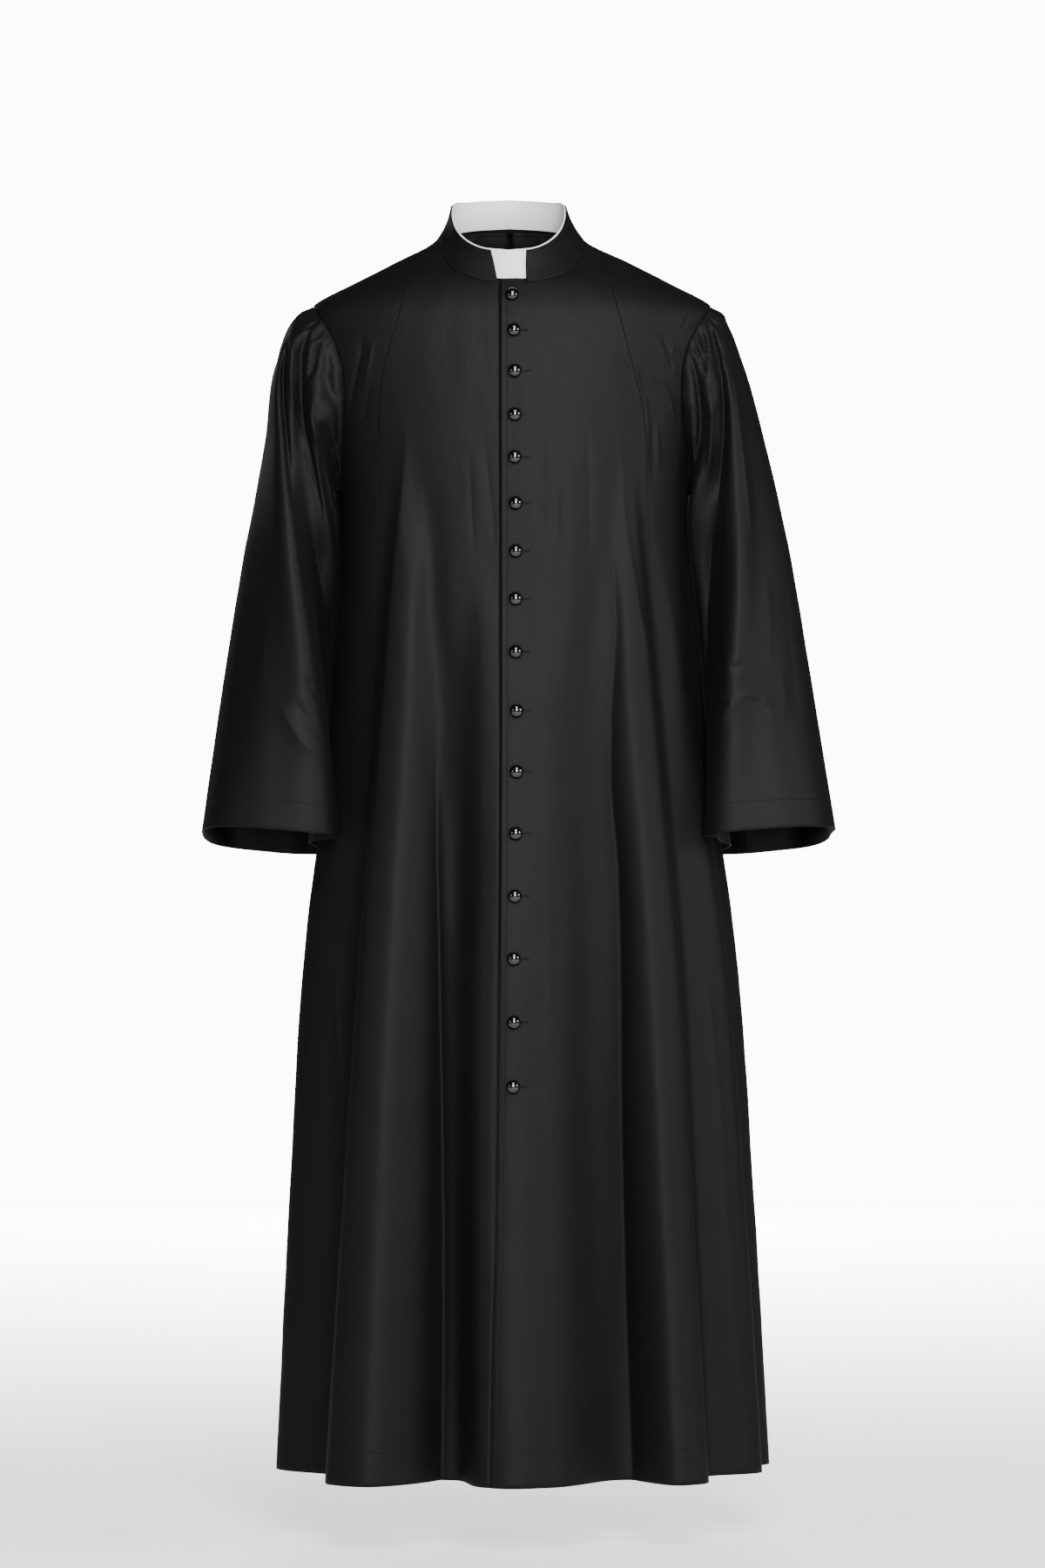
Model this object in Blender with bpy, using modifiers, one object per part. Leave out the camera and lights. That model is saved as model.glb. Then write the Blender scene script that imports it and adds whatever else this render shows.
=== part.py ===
"""Cassock: a full-length clerical robe with a stand collar, buttoned down the front.

Units are metres, +Z up.  The wearer faces -Y and the wearer's left is +X.  The origin lies on the
garment's axis at the level of the shoulder seams' neck ends, where the shoulders carry the cloth.

The body of the robe is one surface, cut into panels.  A point on it has an azimuth (degrees round
the axis: 0 centre front, +90 wearer's left side, 180 centre back) and a height.
"""
import math

import bmesh
import bpy
import numpy as np
from mathutils import Matrix, Vector

CLOTH = 0.0015              # thickness of the cloth
SEAM = 0.0003               # gap between pieces that are sewn together
COLLAR_SEAM = 0.0005        # the same round the neck, where the two edges have unlike corners
SLEEVE_SEAM = 0.0004        # and round the armholes

HEM_Z = -1.467
UNDERARM_Z = -0.300
SHOULDER_TIP_Z = -0.072
SHOULDER_TIP_X = 0.240
FLUTE_TOP_Z = -0.190        # above this the body hangs without flutes
FLUTE_GROWTH = 0.85         # 1 would open a flute as a plain cone
FLUTE_EASE = 0.14           # share of a flute's length in which it swells from nothing

UNDERLAP = 0.034            # how far the right front runs on under the left one
OVERLAP_GAP = 0.0008        # between those two layers
BUTTON_RADIUS = 0.0083
BUTTON_DEPTH = 0.0078


def table(columns, *rows):
    """Rows of numbers as one array for each named column."""
    return dict(zip(columns.split(), np.array(rows, float).T))


# Plain section of the body at each height, before its flutes.
SECTIONS = table(
    "z      half_width front  back   squareness centre_x",
    (0.0300,  0.0880, 0.0340, 0.0600, 2.10, -0.0030),
    (0.0085,  0.0885, 0.0400, 0.0640, 2.10, -0.0020),
    (-0.0200, 0.1412, 0.0580, 0.0760, 2.15, 0.0000),
    (-0.0450, 0.1900, 0.0840, 0.0870, 2.20, 0.0000),
    (-0.0720, 0.2400, 0.1010, 0.0950, 2.20, 0.0000),
    (-0.1100, 0.2430, 0.1120, 0.1040, 2.25, 0.0000),
    (-0.1600, 0.2340, 0.1195, 0.1110, 2.25, 0.0010),
    (-0.2200, 0.2200, 0.1250, 0.1160, 2.30, 0.0020),
    (-0.3000, 0.2090, 0.1310, 0.1190, 2.35, 0.0030),
    (-0.5000, 0.2170, 0.1420, 0.1220, 2.50, 0.0060),
    (-0.6500, 0.2310, 0.1500, 0.1320, 2.65, 0.0080),
    (-0.8300, 0.2520, 0.1600, 0.1470, 2.80, 0.0095),
    (-1.1500, 0.2700, 0.1750, 0.1680, 3.00, 0.0110),
    (-1.4670, 0.2830, 0.1900, 0.1850, 3.20, 0.0126),
)

# Crests and troughs of the flutes: the azimuth of each on the chest, where it stands at the hem
# (from the axis, in plan) and the height at which it starts.
FLUTES = table(
    "chest   hem_x    hem_y   start",
    (-160.0, -0.075,  0.218, -0.30),
    (-144.0, -0.122,  0.163, -0.42),
    (-133.0, -0.196,  0.206, -0.30),
    (-121.0, -0.218,  0.134, -0.45),
    (-109.0, -0.284,  0.104, -0.35),
    (-97.0,  -0.262,  0.036, -0.50),
    (-82.0,  -0.295, -0.040, -0.35),
    (-60.0,  -0.218, -0.124, -0.30),
    (-50.5,  -0.228, -0.193, -0.19),
    (-44.5,  -0.185, -0.221, -0.25),
    (-33.5,  -0.088, -0.157, -0.36),
    (-16.0,  -0.047, -0.224, -0.36),
    (11.0,   0.037,  -0.225, -0.40),
    (36.5,   0.130,  -0.163, -0.32),
    (46.5,   0.182,  -0.206, -0.25),
    (53.0,   0.216,  -0.184, -0.19),
    (60.5,   0.220,  -0.120, -0.30),
    (67.5,   0.283,  -0.086, -0.42),
    (77.0,   0.266,  -0.042, -0.55),
    (91.0,   0.298,   0.008, -0.40),
    (102.0,  0.264,   0.062, -0.50),
    (114.0,  0.276,   0.126, -0.32),
    (125.0,  0.206,   0.143, -0.45),
    (138.0,  0.187,   0.211, -0.28),
    (147.0,  0.110,   0.162, -0.42),
    (162.0,  0.066,   0.214, -0.35),
    (180.0,  0.000,   0.168, -0.30),
)

# The neck seam: its height at each azimuth, the same on both sides.
NECKLINE = table(
    "azimuth z",
    (0.0,   -0.0490),
    (17.0,  -0.0478),
    (32.0,  -0.0427),
    (50.3,  -0.0295),
    (61.0,  -0.0165),
    (70.6,  -0.0033),
    (76.0,  0.0025),
    (81.0,  0.0061),
    (90.0,  0.0085),
    (110.0, 0.0125),
    (140.0, 0.0190),
    (180.0, 0.0220),
)

# Where the armhole seam and the two shaped front seams cross each height.
ARMHOLE = table(
    "z       x",
    (-0.0720, 0.2400),
    (-0.0900, 0.2285),
    (-0.1200, 0.2115),
    (-0.1500, 0.2030),
    (-0.1900, 0.2010),
    (-0.2500, 0.2060),
    (-0.3000, 0.2090),
)
SHAPED_SEAM = table(
    "z        right   left",
    (0.0000,  -0.1210, 0.1050),
    (-0.0500, -0.1280, 0.1180),
    (-0.1000, -0.1385, 0.1310),
    (-0.1500, -0.1530, 0.1440),
    (-0.2000, -0.1590, 0.1560),
    (-0.3000, -0.1610, 0.1620),
)
OVERLAP_EDGE = table(
    "z        x",
    (-0.0450, -0.0121),
    (-0.8000, -0.0125),
    (-0.9600, -0.0143),
    (-1.1700, -0.0172),
    (-1.3300, -0.0215),
    (-1.4670, -0.0241),
)
BUTTONS = table(
    "z        x",
    (-0.0655, 0.0002),
    (-0.1083, 0.0023),
    (-0.1571, 0.0033),
    (-0.2090, 0.0033),
    (-0.2597, 0.0033),
    (-0.3145, 0.0044),
    (-0.3713, 0.0044),
    (-0.4279, 0.0044),
    (-0.4907, 0.0044),
    (-0.5604, 0.0054),
    (-0.6322, 0.0054),
    (-0.7048, 0.0044),
    (-0.7783, 0.0034),
    (-0.8517, 0.0024),
    (-0.9260, 0.0024),
    (-1.0012, 0.0014),
)

# Rings of the sleeve, by the share of its length: the outer and inner points of each ring, its
# reach to the front and back, how square those halves are and how much lower it hangs at the back.
# `wrap` moves the inner side of its back half away from the body's middle.
SLEEVE_RINGS = {
    "left": table(
        "share outer_x outer_z inner_x inner_z wrap front back front_square back_square tilt",
        (0.000, 0.2400, -0.0720, 0.2090, -0.300, 0.000, 0.060, 0.058, 2.0, 2.0, 0.000),
        (0.040, 0.2562, -0.0913, 0.2100, -0.306, 0.001, 0.076, 0.072, 2.0, 2.3, 0.000),
        (0.125, 0.2772, -0.1438, 0.2040, -0.325, -0.012, 0.086, 0.082, 2.1, 2.8, 0.000),
        (0.260, 0.3003, -0.2278, 0.1980, -0.365, -0.014, 0.089, 0.087, 2.1, 3.2, 0.000),
        (0.490, 0.3329, -0.3748, 0.1960, -0.450, -0.006, 0.097, 0.091, 2.0, 3.4, 0.002),
        (0.753, 0.3602, -0.5428, 0.2000, -0.580, 0.010, 0.114, 0.090, 2.2, 3.5, 0.008),
        (1.000, 0.3843, -0.7087, 0.2110, -0.722, 0.018, 0.132, 0.084, 2.9, 3.0, 0.016),
    ),
    "right": table(
        "share outer_x outer_z inner_x inner_z wrap front back front_square back_square tilt",
        (0.000, 0.2400, -0.0720, 0.2090, -0.300, 0.000, 0.060, 0.058, 2.0, 2.0, 0.000),
        (0.040, 0.2640, -0.0890, 0.2100, -0.306, 0.001, 0.078, 0.073, 2.0, 2.3, 0.000),
        (0.125, 0.2866, -0.1420, 0.2030, -0.325, -0.012, 0.088, 0.083, 2.1, 2.8, 0.000),
        (0.260, 0.2976, -0.2278, 0.1960, -0.365, -0.014, 0.091, 0.088, 2.1, 3.2, 0.000),
        (0.490, 0.3244, -0.3748, 0.1920, -0.450, -0.006, 0.099, 0.092, 2.0, 3.4, 0.002),
        (0.753, 0.3507, -0.5428, 0.1930, -0.580, 0.010, 0.116, 0.091, 2.2, 3.5, 0.008),
        (1.000, 0.3735, -0.7087, 0.1995, -0.722, 0.018, 0.134, 0.085, 2.9, 3.0, 0.016),
    ),
}

# Soft folds of each sleeve: its angle round the ring at the head, elbow and cuff (0 outer side,
# 90 front), its width, and how far it stands out at those three places.
SLEEVE_FOLDS = {
    "left": table(
        "head   elbow  cuff   width out_head out_elbow out_cuff",
        (62.0,  88.0,  122.0, 15.0, 0.008,  0.014,  0.008),
        (92.0,  124.0, 160.0, 26.0, -0.012, -0.025, -0.008),
        (124.0, 154.0, 180.0, 17.0, 0.004,  -0.012, -0.003),
        (20.0,  28.0,  34.0,  20.0, 0.004,  0.007,  0.008),
        (-32.0, -52.0, -70.0, 20.0, 0.007,  0.011,  0.013),
        (-66.0, -88.0, -104.0, 18.0, -0.009, -0.013, -0.012),
        (-98.0, -122.0, -136.0, 18.0, 0.008, 0.010,  0.010),
    ),
    "right": table(
        "head   elbow  cuff   width out_head out_elbow out_cuff",
        (40.0,  92.0,  132.0, 20.0, 0.009,  0.019,  0.013),
        (70.0,  128.0, 166.0, 26.0, -0.012, -0.026, -0.009),
        (96.0,  154.0, 182.0, 15.0, 0.010,  -0.012, -0.002),
        (116.0, 170.0, 188.0, 13.0, -0.009, -0.008, 0.000),
        (4.0,   38.0,  62.0,  24.0, -0.004, -0.006, -0.008),
        (-36.0, -48.0, -62.0, 21.0, 0.008,  0.010,  0.012),
        (-70.0, -94.0, -112.0, 19.0, -0.010, -0.012, -0.012),
        (-104.0, -128.0, -142.0, 18.0, 0.008, 0.009, 0.011),
    ),
}
ELBOW_SHARE = 0.50
HEAD_SHARE = 0.10
CLEAR_SHARE = 0.032         # the sleeve is clear of the body from here on
GATHERS = 10                # gathers sewn into the head of each sleeve
GATHER_FIRST = -56.0        # degrees round the armhole, from the back ...
GATHER_LAST = 52.0          # ... over the top to the front
GATHER_DEPTH = 0.0032
GATHER_RISE = 0.020         # share of the sleeve in which they swell out of the seam
GATHER_FADE = 0.130         # share of the sleeve in which they have died away
GATHER_FAN = table(         # a gather hangs: where it starts on the seam, by where it has got to
    "angle  seam",
    (0.0,   0.0),
    (89.0,  9.0),
    (170.0, 62.0),
    (180.0, 72.0),
)
SLEEVE_CLEAR = 0.0092       # between the sleeve and the body that it hangs beside

# The stand collar leans in to the neck from its seam.  A bearing is an angle round the neck,
# stretched to fit the oval: 0 centre front, 90 side.
NECK_HALF_WIDTH = 0.0885
NECK_FRONT_DEPTH = 0.0880
NECK_BACK_DEPTH = 0.0620
COLLAR_TOP_HALF_WIDTH = 0.0704
COLLAR_TOP_FRONT_DEPTH = 0.0760
COLLAR_TOP_BACK_DEPTH = 0.0560
COLLAR_TOP_X = -0.0042
COLLAR_HEIGHT = 0.0385
COLLAR_BOW = 0.0025         # how far the band curves in between its two edges
COLLAR_TOP = table(
    "bearing z",
    (0.0,   -0.0118),
    (30.0,  -0.0064),
    (45.0,  0.0017),
    (60.0,  0.0130),
    (75.0,  0.0273),
    (90.0,  0.0435),
    (135.0, 0.0550),
    (180.0, 0.0590),
)
NOTCH_AZIMUTH = 11.2        # where the notch's sides meet the neck seam
NOTCH_BEARING_TOP = 17.8
NOTCH_FLOOR_RISE = 0.0045   # the fronts stand this much higher inside the notch
INSERT_STAND = 0.050        # share of the collar's height that the white band shows above it
INSERT_FOOT = 0.145         # share of that height between the neck seam and the band's lower edge
INSERT_THICKNESS = 0.0012
INSERT_GAP = 0.0005

NECK_COLUMNS_FRONT = 9      # columns of faces from the notch to the shoulder seam
NECK_COLUMNS_BACK = 8       # and on to the centre back
PANEL_ROWS_ABOVE = 10       # rows of faces above the underarm
PANEL_ROWS_BELOW = 9        # and below it

BLACK_CLOTH = ("black_cloth", (0.012, 0.012, 0.013), 0.85)
BLACK_GLOSS = ("black_button", (0.006, 0.006, 0.007), 0.12)
WHITE_BAND = ("white_band", (0.86, 0.86, 0.86), 0.45)


# ---------------------------------------------------------------- curves and tables

def smooth(x, y, at):
    """Smooth curve through the points (x, y), read at `at` and held level past its ends."""
    order = np.argsort(x)
    x, y = x[order], y[order]
    slope = np.gradient(y, x)
    at = np.clip(at, x[0], x[-1])
    i = np.clip(np.searchsorted(x, at, side="right") - 1, 0, len(x) - 2)
    span = x[i + 1] - x[i]
    t = (at - x[i]) / span
    return (y[i] * (1 + 2 * t) * (1 - t) ** 2 + y[i + 1] * t * t * (3 - 2 * t)
            + span * (slope[i] * t * (1 - t) ** 2 - slope[i + 1] * t * t * (1 - t)))


def smooth_round(degrees, y, at):
    """The same for values that repeat every 360 degrees."""
    turns = np.concatenate([degrees - 360, degrees, degrees + 360])
    at = (np.asarray(at) + 180) % 360 - 180
    return smooth(turns, np.tile(y, 3), at)


def ease(t):
    t = np.clip(t, 0, 1)
    return t * t * (3 - 2 * t)


def spaced(points, count):
    """`count` + 1 places of even spacing along a line of points, as shares of its point list."""
    steps = np.linalg.norm(np.diff(points, axis=0), axis=1)
    along = np.concatenate([[0], np.cumsum(steps)])
    return np.interp(np.linspace(0, along[-1], count + 1), along, np.linspace(0, 1, len(points)))


# ---------------------------------------------------------------- surface of the body

def section(column, z):
    return smooth(SECTIONS["z"], SECTIONS[column], z)


def ring_reach(azimuth, z):
    """Distance from the axis to the plain section."""
    turn = np.radians(azimuth)
    depth = np.where(np.cos(turn) > 0, section("front", z), section("back", z))
    power = section("squareness", z)
    side = (np.abs(np.sin(turn)) / section("half_width", z)) ** power
    return (side + (np.abs(np.cos(turn)) / depth) ** power) ** (-1 / power)


FLUTE_HEM_AZIMUTH = np.degrees(np.arctan2(FLUTES["hem_x"], -FLUTES["hem_y"]))
FLUTE_SWING = (FLUTE_HEM_AZIMUTH - FLUTES["chest"] + 180) % 360 - 180
FLUTE_REACH = np.hypot(FLUTES["hem_x"], FLUTES["hem_y"]) - ring_reach(FLUTE_HEM_AZIMUTH, HEM_Z)


def body_reach(azimuth, z):
    """Azimuth and distance from the axis of a point of the cloth, flutes included."""
    fall = np.clip((FLUTE_TOP_Z - z) / (FLUTE_TOP_Z - HEM_Z), 0, 1)
    turned = azimuth + smooth_round(FLUTES["chest"], FLUTE_SWING, azimuth) * fall
    start = smooth_round(FLUTES["chest"], FLUTES["start"], azimuth)
    length = np.clip((start - z) / (start - HEM_Z), 0, 1)
    grown = length ** FLUTE_GROWTH * ease(length / FLUTE_EASE)
    flute = smooth_round(FLUTES["chest"], FLUTE_REACH, azimuth) * grown
    return turned, ring_reach(turned, z) + flute


def body_point(azimuth, z):
    azimuth, z = np.broadcast_arrays(np.asarray(azimuth, float), np.asarray(z, float))
    turned, reach = body_reach(azimuth, z)
    turn = np.radians(turned)
    x = section("centre_x", z) + reach * np.sin(turn)
    return np.stack([x, -reach * np.cos(turn), z], axis=-1)


def body_normal(azimuth, z, turn=0.05, rise=0.0002):
    """Outward normal of the body."""
    across = body_point(azimuth + turn, z) - body_point(azimuth - turn, z)
    down = body_point(azimuth, z - rise) - body_point(azimuth, z + rise)
    normal = np.cross(down, across)
    return normal / np.linalg.norm(normal, axis=-1, keepdims=True)


def sideways(azimuth, z):
    """How far to the side of the axis a place on the plain section lies."""
    return ring_reach(azimuth, z) * np.sin(np.radians(azimuth))


def azimuth_at(aside, z, half):
    """Azimuth of the place on the plain section's front or back half (+1, -1) so far to the side."""
    power = section("squareness", z)
    ratio = np.clip(np.abs(aside) / section("half_width", z), 0, 1)
    depth = section("front" if half > 0 else "back", z) * (1 - ratio ** power) ** (1 / power)
    return np.degrees(np.arctan2(aside, half * depth))


def placket_azimuth(x, z):
    """Azimuth of a place near the centre front, where the flutes count."""
    azimuth = np.zeros_like(z)
    for _ in range(4):
        turned, reach = body_reach(azimuth, z)
        wanted = np.degrees(np.arcsin((x - section("centre_x", z)) / reach))
        azimuth = azimuth + wanted - turned
    return azimuth


# ---------------------------------------------------------------- edges of the panels

def neck_seam_z(azimuth):
    return smooth(NECKLINE["azimuth"], NECKLINE["z"], np.abs(azimuth))


def neck_bearing(azimuth):
    """Bearing round the oval of the neck at which a place on the neck seam lies."""
    seam = body_point(azimuth, neck_seam_z(azimuth))
    depth = np.where(np.abs(azimuth) < 90, NECK_FRONT_DEPTH, NECK_BACK_DEPTH)
    x = seam[..., 0] - section("centre_x", seam[..., 2])
    return np.degrees(np.arctan2(x / NECK_HALF_WIDTH, -seam[..., 1] / depth))


NECK_SIDE_Z = float(neck_seam_z(90.0))


def neck_z(azimuth):
    """Top edge of the panels at the neck: the neck seam, and a little more inside the notch."""
    middle = 1 - np.clip(np.abs(azimuth) / NOTCH_AZIMUTH, 0, 1) ** 6
    return neck_seam_z(azimuth) + NOTCH_FLOOR_RISE * middle


def shoulder_z(x):
    """Height of the shoulder seam, `x` from the axis."""
    z = np.linspace(NECK_SIDE_Z, SHOULDER_TIP_Z, 200)
    return np.interp(x, section("half_width", z), z)


def overlap_azimuth(z, beyond=0.0):
    return placket_azimuth(smooth(OVERLAP_EDGE["z"], OVERLAP_EDGE["x"], z) + beyond, z)


def shaped_seam_azimuth(side, z):
    """The seam that shapes a front, from the shoulder; below the underarm it runs down a flute."""
    held = np.maximum(z, UNDERARM_Z)
    x = smooth(SHAPED_SEAM["z"], SHAPED_SEAM["left" if side > 0 else "right"], held)
    return azimuth_at(x - section("centre_x", held), held, +1)


def armhole_azimuth(side, half, z):
    held = np.maximum(z, UNDERARM_Z)
    return azimuth_at(side * smooth(ARMHOLE["z"], ARMHOLE["x"], held), held, half)


def even_drop(top, share):
    """Heights from `top` to the underarm, evenly spaced."""
    return top + (UNDERARM_Z - top) * share


def steep_drop(top, share):
    """The same, closest together at the top."""
    return even_drop(top, share ** 2)


def round_drop(top, share):
    """The same, closest together at both ends, as round an armhole."""
    return even_drop(top, (1 - np.cos(np.pi * share)) / 2)


def neck_edge(stops, counts):
    """Azimuth and height along the neck, evenly spaced between the azimuths in `stops`."""
    azimuths = [[stops[0]]]
    for start, end, count in zip(stops, stops[1:], counts):
        fine = np.linspace(start, end, 400)
        share = spaced(body_point(fine, neck_z(fine)), count)
        azimuths.append(np.interp(share, np.linspace(0, 1, 400), fine)[1:])
    azimuth = np.concatenate(azimuths)
    return np.stack([azimuth, neck_z(azimuth)])


def shoulder_edge(side, start, end, count):
    """Azimuth and height along the shoulder seam, between two distances from the axis."""
    z = shoulder_z(np.linspace(start, end, count + 1))
    return np.stack([np.full(len(z), side * 90.0), z])


def blended(top, bottom, left, right):
    """Coons patch between four edges, each two numbers by place; left and right run down."""
    across = np.linspace(0, 1, top.shape[1])[None, None, :]
    down = np.linspace(0, 1, left.shape[1])[None, :, None]
    corners = ((1 - across) * ((1 - down) * top[:, :1, None] + down * bottom[:, :1, None])
               + across * ((1 - down) * top[:, -1:, None] + down * bottom[:, -1:, None]))
    return ((1 - down) * top[:, None, :] + down * bottom[:, None, :]
            + (1 - across) * left[:, :, None] + across * right[:, :, None] - corners)


def panel_places(top, left_edge, right_edge, left_drop, right_drop, rows, by_width=False):
    """Azimuths and heights of a panel's grid, from its top edge to the hem.

    `left_edge` and `right_edge` give the azimuth of the panel's two sides at each height.  A
    panel that reaches round the neck is spread by its width and not by its azimuth.
    """
    share = np.linspace(0, 1, rows[0] + 1)
    left_z = left_drop(top[1, 0], share)
    right_z = right_drop(top[1, -1], share)
    left = np.stack([left_edge(left_z), left_z])
    right = np.stack([right_edge(right_z), right_z])
    left[:, 0] = top[:, 0]
    right[:, 0] = top[:, -1]
    across = np.linspace(0, 1, top.shape[1])
    bottom = np.stack([left[0, -1] + (right[0, -1] - left[0, -1]) * across,
                       np.full(len(across), UNDERARM_Z)])
    edges = (top, bottom, left, right)
    if by_width:
        aside, z = blended(*(np.stack([sideways(*edge), edge[1]]) for edge in edges))
        azimuth = azimuth_at(aside, z, +1)
    else:
        azimuth, z = blended(*edges)
    below = np.linspace(UNDERARM_Z, HEM_Z, rows[1] + 1)[1:]
    low_left, low_right = left_edge(below)[:, None], right_edge(below)[:, None]
    azimuth = np.concatenate([azimuth, low_left + (low_right - low_left) * across])
    z = np.concatenate([z, np.repeat(below[:, None], len(across), axis=1)])
    return azimuth, z


# ---------------------------------------------------------------- surface of the sleeves

def armhole_point(side, angle):
    """The armhole seam and the body's normal there, by the angle round it.

    0 is the shoulder, 90 the front and 180 the underarm.
    """
    turn = np.radians(np.asarray(angle, float))
    middle = (SHOULDER_TIP_Z + UNDERARM_Z) / 2
    z = middle + (SHOULDER_TIP_Z - middle) * np.cos(turn)
    front = armhole_azimuth(side, +1, z)
    back = armhole_azimuth(side, -1, z)
    azimuth = np.where(np.sin(turn) >= 0, front, back)
    return body_point(azimuth, z), body_normal(azimuth, z)


def sleeve_seam(side, angle, step=0.5):
    """The sleeve's own edge along the armhole seam, and the cloth's normal there.

    It keeps to the straight lines between the corners of the panels' edges.
    """
    corner = np.linspace(0, 360, 2 * PANEL_ROWS_ABOVE + 1)
    point, normal = armhole_point(side, corner)
    along = armhole_point(side, corner + step)[0] - armhole_point(side, corner - step)[0]
    into_hole = np.cross(normal, along) * side
    into_hole /= np.linalg.norm(into_hole, axis=-1, keepdims=True)
    point = point + into_hole * SLEEVE_SEAM
    angle = np.asarray(angle) % 360
    seam = np.stack([np.interp(angle, corner, point[:, k]) for k in range(3)], axis=-1)
    facing = np.stack([np.interp(angle, corner, normal[:, k]) for k in range(3)], axis=-1)
    return seam, facing


def clear_of_body(point, clear, softness=0.003):
    """The point moved straight out from the axis until it is `clear` of the body."""
    x = point[..., 0] - section("centre_x", point[..., 2])
    reach = np.hypot(x, point[..., 1])
    turned = np.degrees(np.arctan2(x, -point[..., 1]))
    azimuth = turned
    for _ in range(3):
        found, body = body_reach(azimuth, point[..., 2])
        azimuth = azimuth + turned - found
    excess = (reach - body - clear) / softness
    moved = body + clear + softness * np.logaddexp(0, excess)
    scale = moved / reach
    out = point.copy()
    out[..., 0] += x * (scale - 1)
    out[..., 1] *= scale
    return out


def fold_value(first, middle, last, share):
    """Value that passes through `first` at the head, `middle` at the elbow and `last` at the cuff."""
    return smooth(np.array([HEAD_SHARE, ELBOW_SHARE, 1.0]), np.array([first, middle, last]), share)


def gather_seam(angle, share):
    """Angle on the armhole seam at which a gather that passes through this place starts."""
    angle = (angle + 180) % 360 - 180
    hung = np.sign(angle) * np.interp(np.abs(angle), GATHER_FAN["angle"], GATHER_FAN["seam"])
    return angle + (hung - angle) * ease(share / HEAD_SHARE)


def sleeve_relief(side_name, angle, share):
    """How far the sleeve's folds and gathers stand out from its plain rings."""
    relief = np.zeros(np.broadcast(angle, share).shape)
    folds = SLEEVE_FOLDS[side_name]
    for row in zip(*folds.values()):
        head, elbow, cuff, width, out_head, out_elbow, out_cuff = row
        centre = fold_value(head, elbow, cuff, share)
        away = (angle - centre + 180) % 360 - 180
        relief = relief + (fold_value(out_head, out_elbow, out_cuff, share)
                           * np.exp(-(away / width) ** 2))
    relief = relief * ease(share / HEAD_SHARE)
    spacing = (GATHER_LAST - GATHER_FIRST) / GATHERS
    place = (gather_seam(angle, share) - GATHER_FIRST) / spacing
    number = np.floor(place)
    strength = 0.75 + 0.25 * np.sin(2.4 * number + 1.0)
    inside = (place > 0) & (place < GATHERS)
    swell = ease(share / GATHER_RISE) * (1 - ease((share - GATHER_RISE) / GATHER_FADE))
    wave = np.sin(np.pi * (place - number)) ** 2 * 2 - 1
    return relief + np.where(inside, wave * strength + strength - 1, -1) * GATHER_DEPTH * swell


def plain_sleeve(side_name, side, angle, share, relief):
    rings = SLEEVE_RINGS[side_name]
    ring = {name: smooth(rings["share"], rings[name], share) for name in rings}
    turn = np.radians(angle)
    cosine, sine = np.cos(turn), np.sin(turn)
    power = np.where(sine > 0, ring["front_square"], ring["back_square"])
    round_reach = (np.abs(cosine) ** power + np.abs(sine) ** power) ** (-1 / power)
    inner_x = ring["inner_x"] + ring["wrap"] * ease(-sine)
    half_x = (ring["outer_x"] - inner_x) / 2
    half_z = (ring["outer_z"] - ring["inner_z"]) / 2
    half = np.hypot(half_x, half_z)
    depth = np.where(sine > 0, ring["front"], ring["back"])
    out_x = cosine * (round_reach + relief / half)
    out_y = sine * (round_reach * depth + relief)
    x = (ring["outer_x"] + inner_x) / 2 + half_x * out_x
    z = (ring["outer_z"] + ring["inner_z"]) / 2 + half_z * out_x + ring["tilt"] * sine * round_reach
    return np.stack([side * x, -out_y, z], axis=-1)


def sleeve_point(side_name, angle, share):
    """The sleeve's surface: its rings, drawn in to the armhole seam and kept off the body."""
    side = 1 if side_name == "left" else -1
    angle, share = np.broadcast_arrays(np.asarray(angle, float), np.asarray(share, float))
    relief = sleeve_relief(side_name, angle, share)
    point = plain_sleeve(side_name, side, angle, share, relief)
    start = plain_sleeve(side_name, side, angle, np.zeros_like(share), np.zeros_like(share))
    hold = (1 - ease(share / HEAD_SHARE))[..., None]
    point = point + (sleeve_seam(side, angle)[0] - start) * hold
    cleared = clear_of_body(point, SLEEVE_CLEAR * ease(share / CLEAR_SHARE))
    return point + (cleared - point) * ease(share / 0.015)[..., None]


def sleeve_normal(side_name, angle, share, turn=0.4, fall=0.002):
    """Outward normal of the sleeve; at the armhole seam it is the body's own."""
    side = 1 if side_name == "left" else -1
    around = sleeve_point(side_name, angle + turn, share) - sleeve_point(side_name, angle - turn, share)
    upper, lower = np.maximum(share - fall, 0), np.minimum(share + fall, 1)
    down = sleeve_point(side_name, angle, lower) - sleeve_point(side_name, angle, upper)
    normal = np.cross(around, down) * side
    normal /= np.linalg.norm(normal, axis=-1, keepdims=True)
    hold = (1 - ease(share / 0.03))[..., None]
    normal = normal * (1 - hold) + sleeve_seam(side, angle)[1] * hold
    return normal / np.linalg.norm(normal, axis=-1, keepdims=True)


# ---------------------------------------------------------------- surface of the collar

def collar_point(azimuth, bearing, share):
    """The stand collar, from an azimuth on its seam to a bearing on its top edge."""
    low = body_point(azimuth, neck_seam_z(azimuth))
    turn = np.radians(bearing)
    depth = np.where(np.cos(turn) > 0, COLLAR_TOP_FRONT_DEPTH, COLLAR_TOP_BACK_DEPTH)
    high = np.stack([COLLAR_TOP_X + COLLAR_TOP_HALF_WIDTH * np.sin(turn), -depth * np.cos(turn),
                     smooth(COLLAR_TOP["bearing"], COLLAR_TOP["z"], np.abs(bearing))], axis=-1)
    outward = np.stack([np.sin(turn), -np.cos(turn), np.zeros_like(turn)], axis=-1)
    share = np.asarray(share)[..., None]
    bow = COLLAR_BOW * np.sin(np.pi * np.clip(share, 0, 1))
    return low + (high - low) * share - outward * bow


# ---------------------------------------------------------------- solids

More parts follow.
